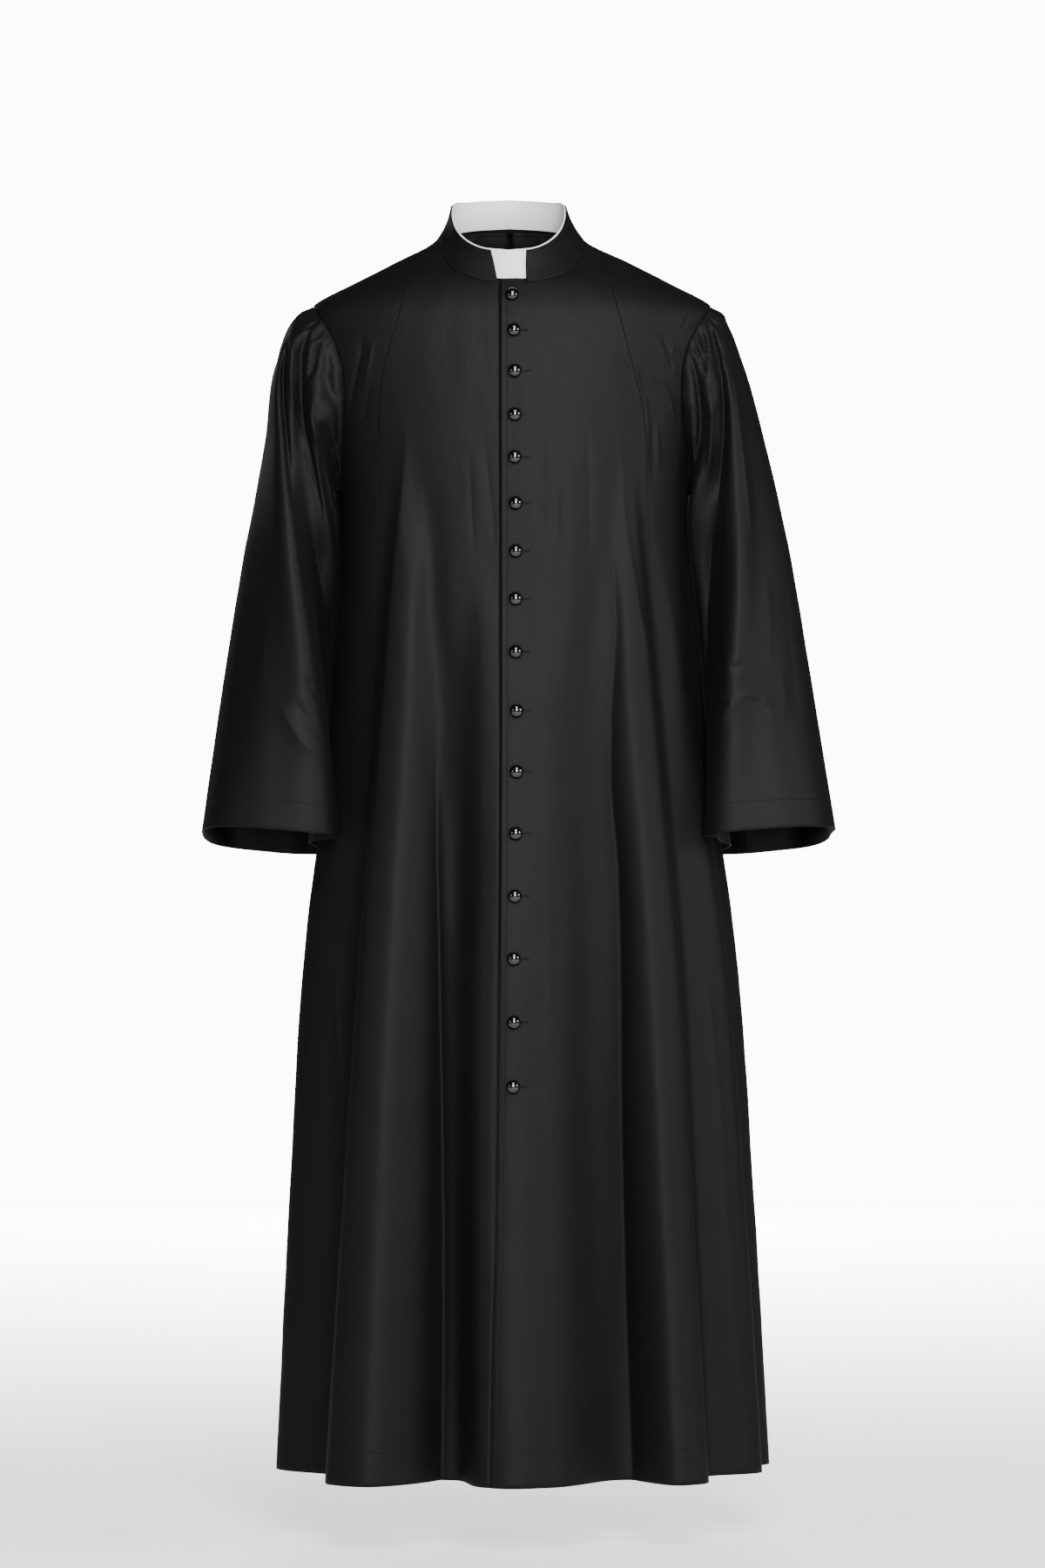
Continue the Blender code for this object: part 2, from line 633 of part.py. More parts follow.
def material(name, colour, roughness):
    made = bpy.data.materials.get(name) or bpy.data.materials.new(name)
    made.use_nodes = True
    shader = made.node_tree.nodes["Principled BSDF"]
    shader.inputs["Base Color"].default_value = (*colour, 1)
    shader.inputs["Roughness"].default_value = roughness
    shader.inputs["Metallic"].default_value = 0.0
    return made


def add_mesh(name, collection, points, faces, finish):
    mesh = bpy.data.meshes.new(name)
    mesh.from_pydata([tuple(p) for p in points], [], faces)
    shape = bmesh.new()
    shape.from_mesh(mesh)
    bmesh.ops.recalc_face_normals(shape, faces=shape.faces)
    shape.to_mesh(mesh)
    shape.free()
    mesh.shade_smooth()
    mesh.set_sharp_from_angle(angle=math.radians(50))
    thing = bpy.data.objects.new(name, mesh)
    thing.data.materials.append(material(*finish))
    collection.objects.link(thing)
    return thing


def row_faces(upper, lower, closed):
    """Triangles between two rows of points; the lower row may have half as many."""
    faces = []
    count = len(upper) if closed else len(upper) - 1
    if len(upper) == len(lower):
        for k in range(count):
            m = (k + 1) % len(upper)
            faces += [(upper[k], lower[k], lower[m]), (upper[k], lower[m], upper[m])]
        return faces
    for k in range(count // 2):
        a, b, c = upper[2 * k], upper[2 * k + 1], upper[(2 * k + 2) % len(upper)]
        d, e = lower[k], lower[(k + 1) % len(lower)]
        faces += [(a, d, b), (b, d, e), (b, e, c)]
    return faces


def wall(name, collection, rows, finish, closed=False):
    """A closed skin of cloth.  `rows` holds an outer and an inner line of points for each row."""
    points, outer, inner = [], [], []
    for outer_line, inner_line in rows:
        for line, kept in ((outer_line, outer), (inner_line, inner)):
            kept.append(list(range(len(points), len(points) + len(line))))
            points.extend(line)
    faces = []
    for k in range(len(rows) - 1):
        faces += row_faces(outer[k], outer[k + 1], closed)
        faces += [tuple(reversed(face)) for face in row_faces(inner[k], inner[k + 1], closed)]
    faces += row_faces(inner[0], outer[0], closed)
    faces += row_faces(outer[-1], inner[-1], closed)
    if not closed:
        for column in (0, -1):
            outer_line = [row[column] for row in outer]
            inner_line = [row[column] for row in inner]
            if column == 0:
                outer_line, inner_line = inner_line, outer_line
            faces += row_faces(outer_line, inner_line, False)
    return add_mesh(name, collection, points, faces, finish)


def panel(name, collection, places, gaps, sink=None):
    """A cloth panel on the body's surface.

    `gaps` are the distances by which its left and right sides stay back from their seams.
    `sink` gives how far it lies under the surface at each place.
    """
    azimuth, z = places
    point = body_point(azimuth, z)
    normal = body_normal(azimuth, z)
    for column, neighbour, gap in ((0, 1, gaps[0]), (-1, -2, gaps[1])):
        inward = point[:, neighbour] - point[:, column]
        inward /= np.linalg.norm(inward, axis=-1, keepdims=True)
        point[:, column] += inward * gap
    if sink is not None:
        point = point - normal * sink(point)[..., None]
    inner = point - normal * CLOTH
    return wall(name, collection, list(zip(point, inner)), BLACK_CLOTH)


def sunk_under_overlap(point):
    """The right front steps in by the thickness of the left one that lies over it."""
    edge = smooth(OVERLAP_EDGE["z"], OVERLAP_EDGE["x"], point[..., 2])
    return (CLOTH + OVERLAP_GAP) * ease((point[..., 0] - edge + 0.014) / 0.010)


def add_fronts(collection):
    rows = (PANEL_ROWS_ABOVE, PANEL_ROWS_BELOW)
    neck_side = float(section("half_width", NECK_SIDE_Z))
    for side, name, beyond in ((1, "front_left", 0.0), (-1, "front_right", UNDERLAP)):
        def placket(z, beyond=beyond):
            return overlap_azimuth(z, beyond)

        def seam(z, side=side):
            return shaped_seam_azimuth(side, z)

        placket_top = float(placket(np.array([NECKLINE["z"][0]]))[0])
        seam_top = abs(SHAPED_SEAM["left" if side > 0 else "right"][0])
        neck = neck_edge((placket_top, side * NOTCH_AZIMUTH, side * 90.0),
                         (3, NECK_COLUMNS_FRONT))
        top = np.concatenate([neck, shoulder_edge(side, neck_side, seam_top, 2)[:, 1:]], axis=1)
        places = panel_places(top, placket, seam, even_drop, round_drop, rows, by_width=True)
        sink = sunk_under_overlap if side < 0 else None
        panel(name, collection, places, (0.0, SEAM / 2), sink)
        side_top = shoulder_edge(side, seam_top, SHOULDER_TIP_X, 6)

        def armhole(z, side=side):
            return armhole_azimuth(side, +1, z)

        places = panel_places(side_top, seam, armhole, round_drop, round_drop, rows)
        panel("side_" + name, collection, places, (SEAM / 2, SEAM / 2))


def add_backs(collection):
    rows = (PANEL_ROWS_ABOVE, PANEL_ROWS_BELOW)
    neck_side = float(section("half_width", NECK_SIDE_Z))
    for side, name in ((1, "back_left"), (-1, "back_right")):
        def centre(z, side=side):
            return np.full_like(z, side * 180.0)

        def armhole(z, side=side):
            return armhole_azimuth(side, -1, z)

        neck = neck_edge((side * 180.0, side * 90.0), (NECK_COLUMNS_BACK,))
        shoulder = shoulder_edge(side, neck_side, SHOULDER_TIP_X, 9)
        top = np.concatenate([neck, shoulder[:, 1:]], axis=1)
        places = panel_places(top, centre, armhole, steep_drop, round_drop, rows)
        panel(name, collection, places, (SEAM / 2, SEAM / 2))


def sleeve_angles():
    """Even columns, of which each fourth meets a corner of the panels round the armhole."""
    return np.arange(0.0, 360.0, 180 / PANEL_ROWS_ABOVE / 4)


def add_sleeves(collection):
    head = [0.0, 0.012, 0.028, 0.050, 0.075, 0.105, 0.145, 0.20]
    arm = [0.28, 0.37, 0.47, 0.57, 0.67, 0.78, 0.89, 1.0]
    angles = sleeve_angles()
    for side_name in ("left", "right"):
        rows = []
        for share in head + arm:
            line = angles if share in head else angles[::2]
            place = np.full(len(line), share)
            point = sleeve_point(side_name, line, place)
            rows.append((point, point - sleeve_normal(side_name, line, place) * CLOTH))
        wall("sleeve_" + side_name, collection, rows, BLACK_CLOTH, closed=True)


def collar_band(azimuth, bearing, shares, thickness, inset, sewn=False):
    """Outer and inner lines of a band that lies `inset` inside the collar's surface.

    A band that is sewn to the panels has its lower edge cut square to them, and another level.
    """
    step = 0.4
    rows = []
    for share in shares:
        level = np.full(len(azimuth), share)
        point = collar_point(azimuth, bearing, level)
        around = (collar_point(azimuth + step, bearing + step, level)
                  - collar_point(azimuth - step, bearing - step, level))
        up = (collar_point(azimuth, bearing, level + 0.02)
              - collar_point(azimuth, bearing, level - 0.02))
        normal = np.cross(around, up)
        if share == shares[0]:
            normal[:, 2] = 0
            if sewn:
                normal = body_normal(azimuth, neck_seam_z(azimuth))
        normal /= np.linalg.norm(normal, axis=-1, keepdims=True)
        rows.append((point - normal * inset, point - normal * (inset + thickness)))
    return rows


def collar_places():
    """Azimuth on the seam and bearing on the top edge for each column, round from the notch.

    The columns stand on the corners of the panels' neck edges.
    """
    half = neck_edge((NOTCH_AZIMUTH, 90.0, 180.0), (NECK_COLUMNS_FRONT, NECK_COLUMNS_BACK))[0]
    bearing = neck_bearing(half)
    bearing[-1] = 180.0
    widened = NOTCH_BEARING_TOP - bearing[0]
    bearing = bearing + widened * (180 - bearing) / (180 - bearing[0])
    return np.concatenate([half, -half[-2::-1]]), np.concatenate([bearing, -bearing[-2::-1]])


def add_collar(collection):
    """The collar, open at its notch, and the white band that stands whole inside it."""
    azimuth, bearing = collar_places()
    lift = COLLAR_SEAM / COLLAR_HEIGHT
    rows = collar_band(azimuth, bearing, (lift, 0.35, 0.7, 1.0), CLOTH, 0.0, sewn=True)
    wall("collar", collection, rows, BLACK_CLOTH)
    inside = np.linspace(-1, 1, 6)[1:-1]
    rows = collar_band(np.concatenate([azimuth, inside * NOTCH_AZIMUTH]),
                       np.concatenate([bearing, inside * NOTCH_BEARING_TOP]),
                       (INSERT_FOOT, 0.35, 0.7, 1 + INSERT_STAND), INSERT_THICKNESS,
                       CLOTH + INSERT_GAP)
    wall("collar_insert", collection, rows, WHITE_BAND, closed=True)


def add_buttons(collection):
    """Domed buttons, each turned from one profile and laid on the left front."""
    profile = ((0.0, 1.0), (0.55, 0.86), (0.87, 0.52), (1.0, 0.16), (0.80, 0.0), (0.0, 0.0))
    for number, (z, x) in enumerate(zip(BUTTONS["z"], BUTTONS["x"]), start=1):
        name = f"button_{number:02d}"
        mesh = bpy.data.meshes.new(name)
        points = [(r * BUTTON_RADIUS, 0, h * BUTTON_DEPTH) for r, h in profile]
        mesh.from_pydata(points, [(k, k + 1) for k in range(len(points) - 1)], [])
        button = bpy.data.objects.new(name, mesh)
        collection.objects.link(button)
        turned = button.modifiers.new("turned", "SCREW")
        turned.steps = turned.render_steps = 14
        turned.use_merge_vertices = True
        turned.merge_threshold = 0.00005
        turned.use_smooth_shade = True
        place = np.array([z])
        azimuth = placket_azimuth(np.array([x]), place)
        seat = Vector(body_point(azimuth, place)[0])
        normal = Vector(body_normal(azimuth, place)[0])
        button.matrix_world = (Matrix.Translation(seat + normal * 2 * SEAM)
                               @ normal.to_track_quat("Z", "Y").to_matrix().to_4x4())
        button.data.materials.append(material(*BLACK_GLOSS))


def main():
    for thing in list(bpy.data.objects):
        bpy.data.objects.remove(thing, do_unlink=True)
    collection = bpy.data.collections.new("cassock")
    bpy.context.scene.collection.children.link(collection)
    add_fronts(collection)
    add_backs(collection)
    add_sleeves(collection)
    add_collar(collection)
    add_buttons(collection)


main()
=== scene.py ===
"""Looks of the cassock: its cloth, sewing, buttons and white band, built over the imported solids.

Units are metres, +Z up.  The wearer faces -Y and the wearer's left is +X.  A place on the body of
the robe has an azimuth (degrees: 0 centre front, +90 wearer's left, 180 centre back) and a height.
"""
import math
from functools import partial

import bpy
import numpy as np
from mathutils import Matrix, Vector


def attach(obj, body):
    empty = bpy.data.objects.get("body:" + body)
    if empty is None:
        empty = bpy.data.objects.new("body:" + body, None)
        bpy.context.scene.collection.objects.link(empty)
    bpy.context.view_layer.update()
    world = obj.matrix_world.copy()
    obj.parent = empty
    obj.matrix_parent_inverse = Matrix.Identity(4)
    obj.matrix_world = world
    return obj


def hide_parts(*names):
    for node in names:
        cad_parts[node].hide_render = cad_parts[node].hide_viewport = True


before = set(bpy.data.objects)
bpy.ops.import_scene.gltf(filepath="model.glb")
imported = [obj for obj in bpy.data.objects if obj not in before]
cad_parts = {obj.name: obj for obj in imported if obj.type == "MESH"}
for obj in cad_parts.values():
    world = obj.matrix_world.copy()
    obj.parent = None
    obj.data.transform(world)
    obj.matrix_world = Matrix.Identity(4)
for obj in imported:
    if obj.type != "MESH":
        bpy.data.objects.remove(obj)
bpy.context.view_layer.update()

CLOTH = 0.0015              # thickness of the cloth
SEAM = 0.0003               # gap between pieces that are sewn together
SLEEVE_SEAM = 0.0004        # the same round the armholes

HEM_Z = -1.467
UNDERARM_Z = -0.300
SHOULDER_TIP_Z = -0.072
SHOULDER_TIP_X = 0.240
FLUTE_TOP_Z = -0.190        # above this the body hangs without flutes
FLUTE_GROWTH = 0.85         # 1 would open a flute as a plain cone
FLUTE_EASE = 0.14           # share of a flute's length in which it swells from nothing

UNDERLAP = 0.034            # how far the right front runs on under the left one
UNDERLAP_DROP = 0.0042      # how far its cloth steps in there,
UNDERLAP_STEP = 0.0044      # over what width,
UNDERLAP_STEP_X = -0.0048   # and where that starts, from the overlap's edge
BUTTON_RADIUS = 0.0083
BUTTON_DEPTH = 0.0078

SIDES = {"left": 1, "right": -1}


def table(columns, *rows):
    """Rows of numbers as one array for each named column."""
    return dict(zip(columns.split(), np.array(rows, float).T))


# Plain section of the body at each height, before its flutes.
SECTIONS = table(
    "z half_width front back squareness centre_x",
    (0.03, 0.088, 0.034, 0.06, 2.1, -0.003),
    (0.0085, 0.0885, 0.04, 0.064, 2.1, -0.002),
    (-0.02, 0.1412, 0.058, 0.076, 2.15, 0),
    (-0.045, 0.19, 0.084, 0.087, 2.2, 0),
    (-0.072, 0.24, 0.101, 0.095, 2.2, 0),
    (-0.11, 0.243, 0.112, 0.104, 2.25, 0),
    (-0.16, 0.234, 0.1195, 0.111, 2.25, 0.001),
    (-0.22, 0.22, 0.125, 0.116, 2.3, 0.002),
    (-0.3, 0.209, 0.131, 0.119, 2.35, 0.003),
    (-0.5, 0.217, 0.142, 0.122, 2.5, 0.006),
    (-0.65, 0.231, 0.15, 0.132, 2.65, 0.008),
    (-0.83, 0.252, 0.16, 0.147, 2.8, 0.0095),
    (-1.15, 0.27, 0.175, 0.168, 3, 0.011),
    (-1.467, 0.283, 0.19, 0.185, 3.2, 0.0126),
)

# Crests and troughs of the flutes: the azimuth of each on the chest, where it stands at the hem
# (from the axis, in plan) and the height at which it starts.
FLUTES = table(
    "chest hem_x hem_y start",
    (-160, -0.075, 0.218, -0.3), (-144, -0.122, 0.163, -0.42), (-133, -0.196, 0.206, -0.3),
    (-121, -0.218, 0.134, -0.45), (-109, -0.284, 0.104, -0.35), (-97, -0.262, 0.036, -0.5),
    (-82, -0.295, -0.04, -0.35), (-60, -0.218, -0.124, -0.3), (-50.5, -0.228, -0.193, -0.19),
    (-44.5, -0.185, -0.221, -0.25), (-33.5, -0.088, -0.157, -0.36), (-16, -0.047, -0.224, -0.36),
    (11, 0.037, -0.225, -0.4), (36.5, 0.13, -0.163, -0.32), (46.5, 0.182, -0.206, -0.25),
    (53, 0.216, -0.184, -0.19), (60.5, 0.22, -0.12, -0.3), (67.5, 0.283, -0.086, -0.42),
    (77, 0.266, -0.042, -0.55), (91, 0.298, 0.008, -0.4), (102, 0.264, 0.062, -0.5),
    (114, 0.276, 0.126, -0.32), (125, 0.206, 0.143, -0.45), (138, 0.187, 0.211, -0.28),
    (147, 0.11, 0.162, -0.42), (162, 0.066, 0.214, -0.35), (180, 0, 0.168, -0.3),
)

# The neck seam: its height at each azimuth, the same on both sides.
NECKLINE = table(
    "azimuth z",
    (0, -0.049), (17, -0.0478), (32, -0.0427), (50.3, -0.0295), (61, -0.0165), (70.6, -0.0033),
    (76, 0.0025), (81, 0.0061), (90, 0.0085), (110, 0.0125), (140, 0.019), (180, 0.022),
)

# Where the armhole seam and the two shaped front seams cross each height.
ARMHOLE = table(
    "z x",
    (-0.072, 0.24), (-0.09, 0.2285), (-0.12, 0.2115), (-0.15, 0.203), (-0.19, 0.201),
    (-0.25, 0.206), (-0.3, 0.209),
)
SHAPED_SEAM = table(
    "z right left",
    (0, -0.121, 0.105), (-0.05, -0.128, 0.118), (-0.1, -0.1385, 0.131), (-0.15, -0.153, 0.144),
    (-0.2, -0.159, 0.156), (-0.3, -0.161, 0.162),
)
OVERLAP_EDGE = table(
    "z x",
    (-0.045, -0.0121), (-0.8, -0.0125), (-0.96, -0.0143), (-1.17, -0.0172), (-1.33, -0.0215),
    (-1.467, -0.0241),
)
BUTTONS = table(
    "z x",
    (-0.0655, 0.0002), (-0.1083, 0.0023), (-0.1571, 0.0033), (-0.209, 0.0033), (-0.2597, 0.0033),
    (-0.3145, 0.0044), (-0.3713, 0.0044), (-0.4279, 0.0044), (-0.4907, 0.0044), (-0.5604, 0.0054),
    (-0.6322, 0.0054), (-0.7048, 0.0044), (-0.7783, 0.0034), (-0.8517, 0.0024), (-0.926, 0.0024),
    (-1.0012, 0.0014),
)

# Rings of the sleeve, by the share of its length: the outer and inner points of each ring, its
# reach to the front and back, how square those halves are and how much lower it hangs at the back.
# `wrap` moves the inner side of its back half away from the body's middle.  The first table holds
# what the two sleeves share.
SLEEVE_RINGS = table(
    "share inner_z wrap front_square back_square tilt",
    (0, -0.3, 0, 2, 2, 0), (0.04, -0.306, 0.001, 2, 2.3, 0), (0.125, -0.325, -0.012, 2.1, 2.8, 0),
    (0.26, -0.365, -0.014, 2.1, 3.2, 0), (0.49, -0.45, -0.006, 2, 3.4, 0.002),
    (0.753, -0.58, 0.01, 2.2, 3.5, 0.008), (1, -0.722, 0.018, 2.9, 3, 0.016),
)
SLEEVE_SIDES = {
    "left": table(
        "outer_x outer_z inner_x front back",
        (0.24, -0.072, 0.209, 0.06, 0.058), (0.2562, -0.0913, 0.21, 0.076, 0.072),
        (0.2772, -0.1438, 0.204, 0.086, 0.082), (0.3003, -0.2278, 0.198, 0.089, 0.087),
        (0.3329, -0.3748, 0.196, 0.097, 0.091), (0.3602, -0.5428, 0.2, 0.114, 0.09),
        (0.3843, -0.7087, 0.211, 0.132, 0.084),
    ),
    "right": table(
        "outer_x outer_z inner_x front back",
        (0.24, -0.072, 0.209, 0.06, 0.058), (0.264, -0.089, 0.21, 0.078, 0.073),
        (0.2866, -0.142, 0.203, 0.088, 0.083), (0.2976, -0.2278, 0.196, 0.091, 0.088),
        (0.3244, -0.3748, 0.192, 0.099, 0.092), (0.3507, -0.5428, 0.193, 0.116, 0.091),
        (0.3735, -0.7087, 0.1995, 0.134, 0.085),
    ),
}

# Soft folds of each sleeve: its angle round the ring at the head, elbow and cuff (0 outer side,
# 90 front), its width, and how far it stands out at those three places.
SLEEVE_FOLDS = {
    "left": table(
        "head elbow cuff width out_head out_elbow out_cuff",
        (62, 88, 122, 15, 0.008, 0.014, 0.008), (92, 124, 160, 26, -0.012, -0.025, -0.008),
        (124, 154, 180, 17, 0.004, -0.012, -0.003), (20, 28, 34, 20, 0.004, 0.007, 0.008),
        (-32, -52, -70, 20, 0.007, 0.011, 0.013), (-66, -88, -104, 18, -0.009, -0.013, -0.012),
        (-98, -122, -136, 18, 0.008, 0.01, 0.01),
    ),
    "right": table(
        "head elbow cuff width out_head out_elbow out_cuff",
        (40, 92, 132, 20, 0.009, 0.019, 0.013), (70, 128, 166, 26, -0.012, -0.026, -0.009),
        (96, 154, 182, 15, 0.01, -0.012, -0.002), (116, 170, 188, 13, -0.009, -0.008, 0),
        (4, 38, 62, 24, -0.004, -0.006, -0.008), (-36, -48, -62, 21, 0.008, 0.01, 0.012),
        (-70, -94, -112, 19, -0.01, -0.012, -0.012), (-104, -128, -142, 18, 0.008, 0.009, 0.011),
    ),
}
ELBOW_SHARE = 0.50
HEAD_SHARE = 0.10
CLEAR_SHARE = 0.032         # the sleeve is clear of the body from here on
LET_GO_SHARE = 0.015        # and the armhole seam holds it this far
SEAM_SHARE = 0.03           # the cloth turns from the body's slope to its own, and swells, this far
GATHERS = 10                # gathers sewn into the head of each sleeve
GATHER_FIRST = -56.0        # degrees round the armhole, from the back ...
GATHER_LAST = 52.0          # ... over the top to the front
GATHER_DEPTH = 0.0032
GATHER_FRONT_LOSS = 0.7     # share of that depth that they lack in front
GATHER_RISE = 0.020         # share of the sleeve in which they swell out of the seam
GATHER_FADE = 0.130         # share of the sleeve in which they have died away
GATHER_FAN = table(  # a gather hangs: where it starts on the seam, by where it has got to
    "angle seam",
    (0, 0), (89, 9), (170, 62), (180, 72),
)
SLEEVE_CLEAR = 0.0092       # between the sleeve and the body that it hangs beside

# The stand collar leans in to the neck from its seam.  A bearing is an angle round the neck,
# stretched to fit the oval: 0 centre front, 90 side.
NECK_HALF_WIDTH = 0.0885
NECK_FRONT_DEPTH = 0.0880
NECK_BACK_DEPTH = 0.0620
COLLAR_TOP_HALF_WIDTH = 0.0704
COLLAR_TOP_FRONT_DEPTH = 0.0760
COLLAR_TOP_BACK_DEPTH = 0.0560
COLLAR_TOP_X = -0.0042
COLLAR_HEIGHT = 0.0385
COLLAR_BOW = 0.0025         # how far the band curves in between its two edges
COLLAR_TOP = table(
    "bearing z",
    (0, -0.0118), (30, -0.0064), (45, 0.0017), (60, 0.013), (75, 0.0273), (90, 0.0435),
    (135, 0.055), (180, 0.059),
)
NOTCH_AZIMUTH = 11.2        # where the notch's sides meet the neck seam
NOTCH_BEARING_TOP = 17.8
NOTCH_FLOOR_RISE = 0.0045   # the fronts stand this much higher inside the notch
INSERT_STAND = 0.050        # share of the collar's height that the white band shows above it
INSERT_FOOT = 0.145         # share of that height between the neck seam and the band's lower edge
INSERT_THICKNESS = 0.0012
INSERT_GAP = 0.0005

ARMHOLE_CORNERS = 20        # corners of the armhole seam in the solids


# ---- curves and tables

def smooth(x, y, at):
    """Smooth curve through the points (x, y), read at `at` and held level past its ends."""
    order = np.argsort(x)
    x, y = x[order], y[order]
    slope = np.gradient(y, x)
    at = np.clip(at, x[0], x[-1])
    i = np.clip(np.searchsorted(x, at, side="right") - 1, 0, len(x) - 2)
    span = x[i + 1] - x[i]
    t = (at - x[i]) / span
    return (y[i] * (1 + 2 * t) * (1 - t) ** 2 + y[i + 1] * t * t * (3 - 2 * t)
            + span * (slope[i] * t * (1 - t) ** 2 - slope[i + 1] * t * t * (1 - t)))


def smooth_round(degrees, y, at):
    """The same for values that repeat every 360 degrees."""
    turns = np.concatenate([degrees - 360, degrees, degrees + 360])
    at = (np.asarray(at) + 180) % 360 - 180
    return smooth(turns, np.tile(y, 3), at)


def ease(t):
    t = np.clip(t, 0, 1)
    return t * t * (3 - 2 * t)


def spaced(points, count):
    """`count` + 1 places of even spacing along a line of points, as shares of its point list."""
    steps = np.linalg.norm(np.diff(points, axis=0), axis=1)
    along = np.concatenate([[0], np.cumsum(steps)])
    return np.interp(np.linspace(0, along[-1], count + 1), along, np.linspace(0, 1, len(points)))


def unit(vectors):
    return vectors / np.linalg.norm(vectors, axis=-1, keepdims=True)


# ---- surface of the body

def section(column, z):
    return smooth(SECTIONS["z"], SECTIONS[column], z)


def ring_reach(azimuth, z):
    """Distance from the axis to the plain section."""
    turn = np.radians(azimuth)
    depth = np.where(np.cos(turn) > 0, section("front", z), section("back", z))
    power = section("squareness", z)
    side = (np.abs(np.sin(turn)) / section("half_width", z)) ** power
    return (side + (np.abs(np.cos(turn)) / depth) ** power) ** (-1 / power)


FLUTE_HEM_AZIMUTH = np.degrees(np.arctan2(FLUTES["hem_x"], -FLUTES["hem_y"]))
FLUTE_SWING = (FLUTE_HEM_AZIMUTH - FLUTES["chest"] + 180) % 360 - 180
FLUTE_REACH = np.hypot(FLUTES["hem_x"], FLUTES["hem_y"]) - ring_reach(FLUTE_HEM_AZIMUTH, HEM_Z)


def body_reach(azimuth, z):
    """Azimuth and distance from the axis of a point of the cloth, flutes included."""
    fall = np.clip((FLUTE_TOP_Z - z) / (FLUTE_TOP_Z - HEM_Z), 0, 1)
    turned = azimuth + smooth_round(FLUTES["chest"], FLUTE_SWING, azimuth) * fall
    start = smooth_round(FLUTES["chest"], FLUTES["start"], azimuth)
    length = np.clip((start - z) / (start - HEM_Z), 0, 1)
    grown = length ** FLUTE_GROWTH * ease(length / FLUTE_EASE)
    flute = smooth_round(FLUTES["chest"], FLUTE_REACH, azimuth) * grown
    return turned, ring_reach(turned, z) + flute


def body_point(azimuth, z):
    azimuth, z = np.broadcast_arrays(np.asarray(azimuth, float), np.asarray(z, float))
    turned, reach = body_reach(azimuth, z)
    turn = np.radians(turned)
    x = section("centre_x", z) + reach * np.sin(turn)
    return np.stack([x, -reach * np.cos(turn), z], axis=-1)


def body_normal(azimuth, z, turn=0.05, rise=0.0002):
    """Outward normal of the body."""
    across = body_point(azimuth + turn, z) - body_point(azimuth - turn, z)
    down = body_point(azimuth, z - rise) - body_point(azimuth, z + rise)
    return unit(np.cross(down, across))


def sideways(azimuth, z):
    """How far to the side of the axis a place on the plain section lies."""
    return ring_reach(azimuth, z) * np.sin(np.radians(azimuth))


def azimuth_at(aside, z, half):
    """Azimuth so far to the side on the plain section's front or back half (+1, -1)."""
    power = section("squareness", z)
    ratio = np.clip(np.abs(aside) / section("half_width", z), 0, 1)
    depth = section("front" if half > 0 else "back", z) * (1 - ratio ** power) ** (1 / power)
    return np.degrees(np.arctan2(aside, half * depth))


def placket_azimuth(x, z):
    """Azimuth of a place near the centre front, where the flutes count."""
    azimuth = np.zeros_like(z)
    for _ in range(4):
        turned, reach = body_reach(azimuth, z)
        wanted = np.degrees(np.arcsin((x - section("centre_x", z)) / reach))
        azimuth = azimuth + wanted - turned
    return azimuth


# ---- edges of the panels

def neck_seam_z(azimuth):
    return smooth(NECKLINE["azimuth"], NECKLINE["z"], np.abs(azimuth))


def neck_bearing(azimuth):
    """Bearing round the oval of the neck at which a place on the neck seam lies."""
    seam = body_point(azimuth, neck_seam_z(azimuth))
    depth = np.where(np.abs(azimuth) < 90, NECK_FRONT_DEPTH, NECK_BACK_DEPTH)
    x = seam[..., 0] - section("centre_x", seam[..., 2])
    return np.degrees(np.arctan2(x / NECK_HALF_WIDTH, -seam[..., 1] / depth))


NECK_SIDE_Z = float(neck_seam_z(90.0))
NECK_SIDE_X = float(section("half_width", NECK_SIDE_Z))


def neck_z(azimuth):
    """Top edge of the panels at the neck: the neck seam, and a little more inside the notch."""
    middle = 1 - np.clip(np.abs(azimuth) / NOTCH_AZIMUTH, 0, 1) ** 6
    return neck_seam_z(azimuth) + NOTCH_FLOOR_RISE * middle


def shoulder_z(x):
    """Height of the shoulder seam, `x` from the axis."""
    z = np.linspace(NECK_SIDE_Z, SHOULDER_TIP_Z, 200)
    return np.interp(x, section("half_width", z), z)


def overlap_azimuth(z, beyond=0.0):
    return placket_azimuth(smooth(OVERLAP_EDGE["z"], OVERLAP_EDGE["x"], z) + beyond, z)


def shaped_seam_azimuth(side, z):
    """The seam that shapes a front, from the shoulder; below the underarm it runs down a flute."""
    held = np.maximum(z, UNDERARM_Z)
    x = smooth(SHAPED_SEAM["z"], SHAPED_SEAM["left" if side > 0 else "right"], held)
    return azimuth_at(x - section("centre_x", held), held, +1)


def armhole_azimuth(side, half, z):
    held = np.maximum(z, UNDERARM_Z)
    return azimuth_at(side * smooth(ARMHOLE["z"], ARMHOLE["x"], held), held, half)


def even_drop(top, share):
    """Heights from `top` to the underarm, evenly spaced."""
    return top + (UNDERARM_Z - top) * share


def steep_drop(top, share):
    """The same, closest together at the top."""
    return even_drop(top, share ** 2)


def round_drop(top, share):
    """The same, closest together at both ends, as round an armhole."""
    return even_drop(top, (1 - np.cos(np.pi * share)) / 2)


def neck_edge(stops, counts):
    """Azimuth and height along the neck, evenly spaced between the azimuths in `stops`."""
    azimuths = [[stops[0]]]
    for start, end, count in zip(stops, stops[1:], counts):
        fine = np.linspace(start, end, 400)
        share = spaced(body_point(fine, neck_z(fine)), count)
        azimuths.append(np.interp(share, np.linspace(0, 1, 400), fine)[1:])
    azimuth = np.concatenate(azimuths)
    return np.stack([azimuth, neck_z(azimuth)])


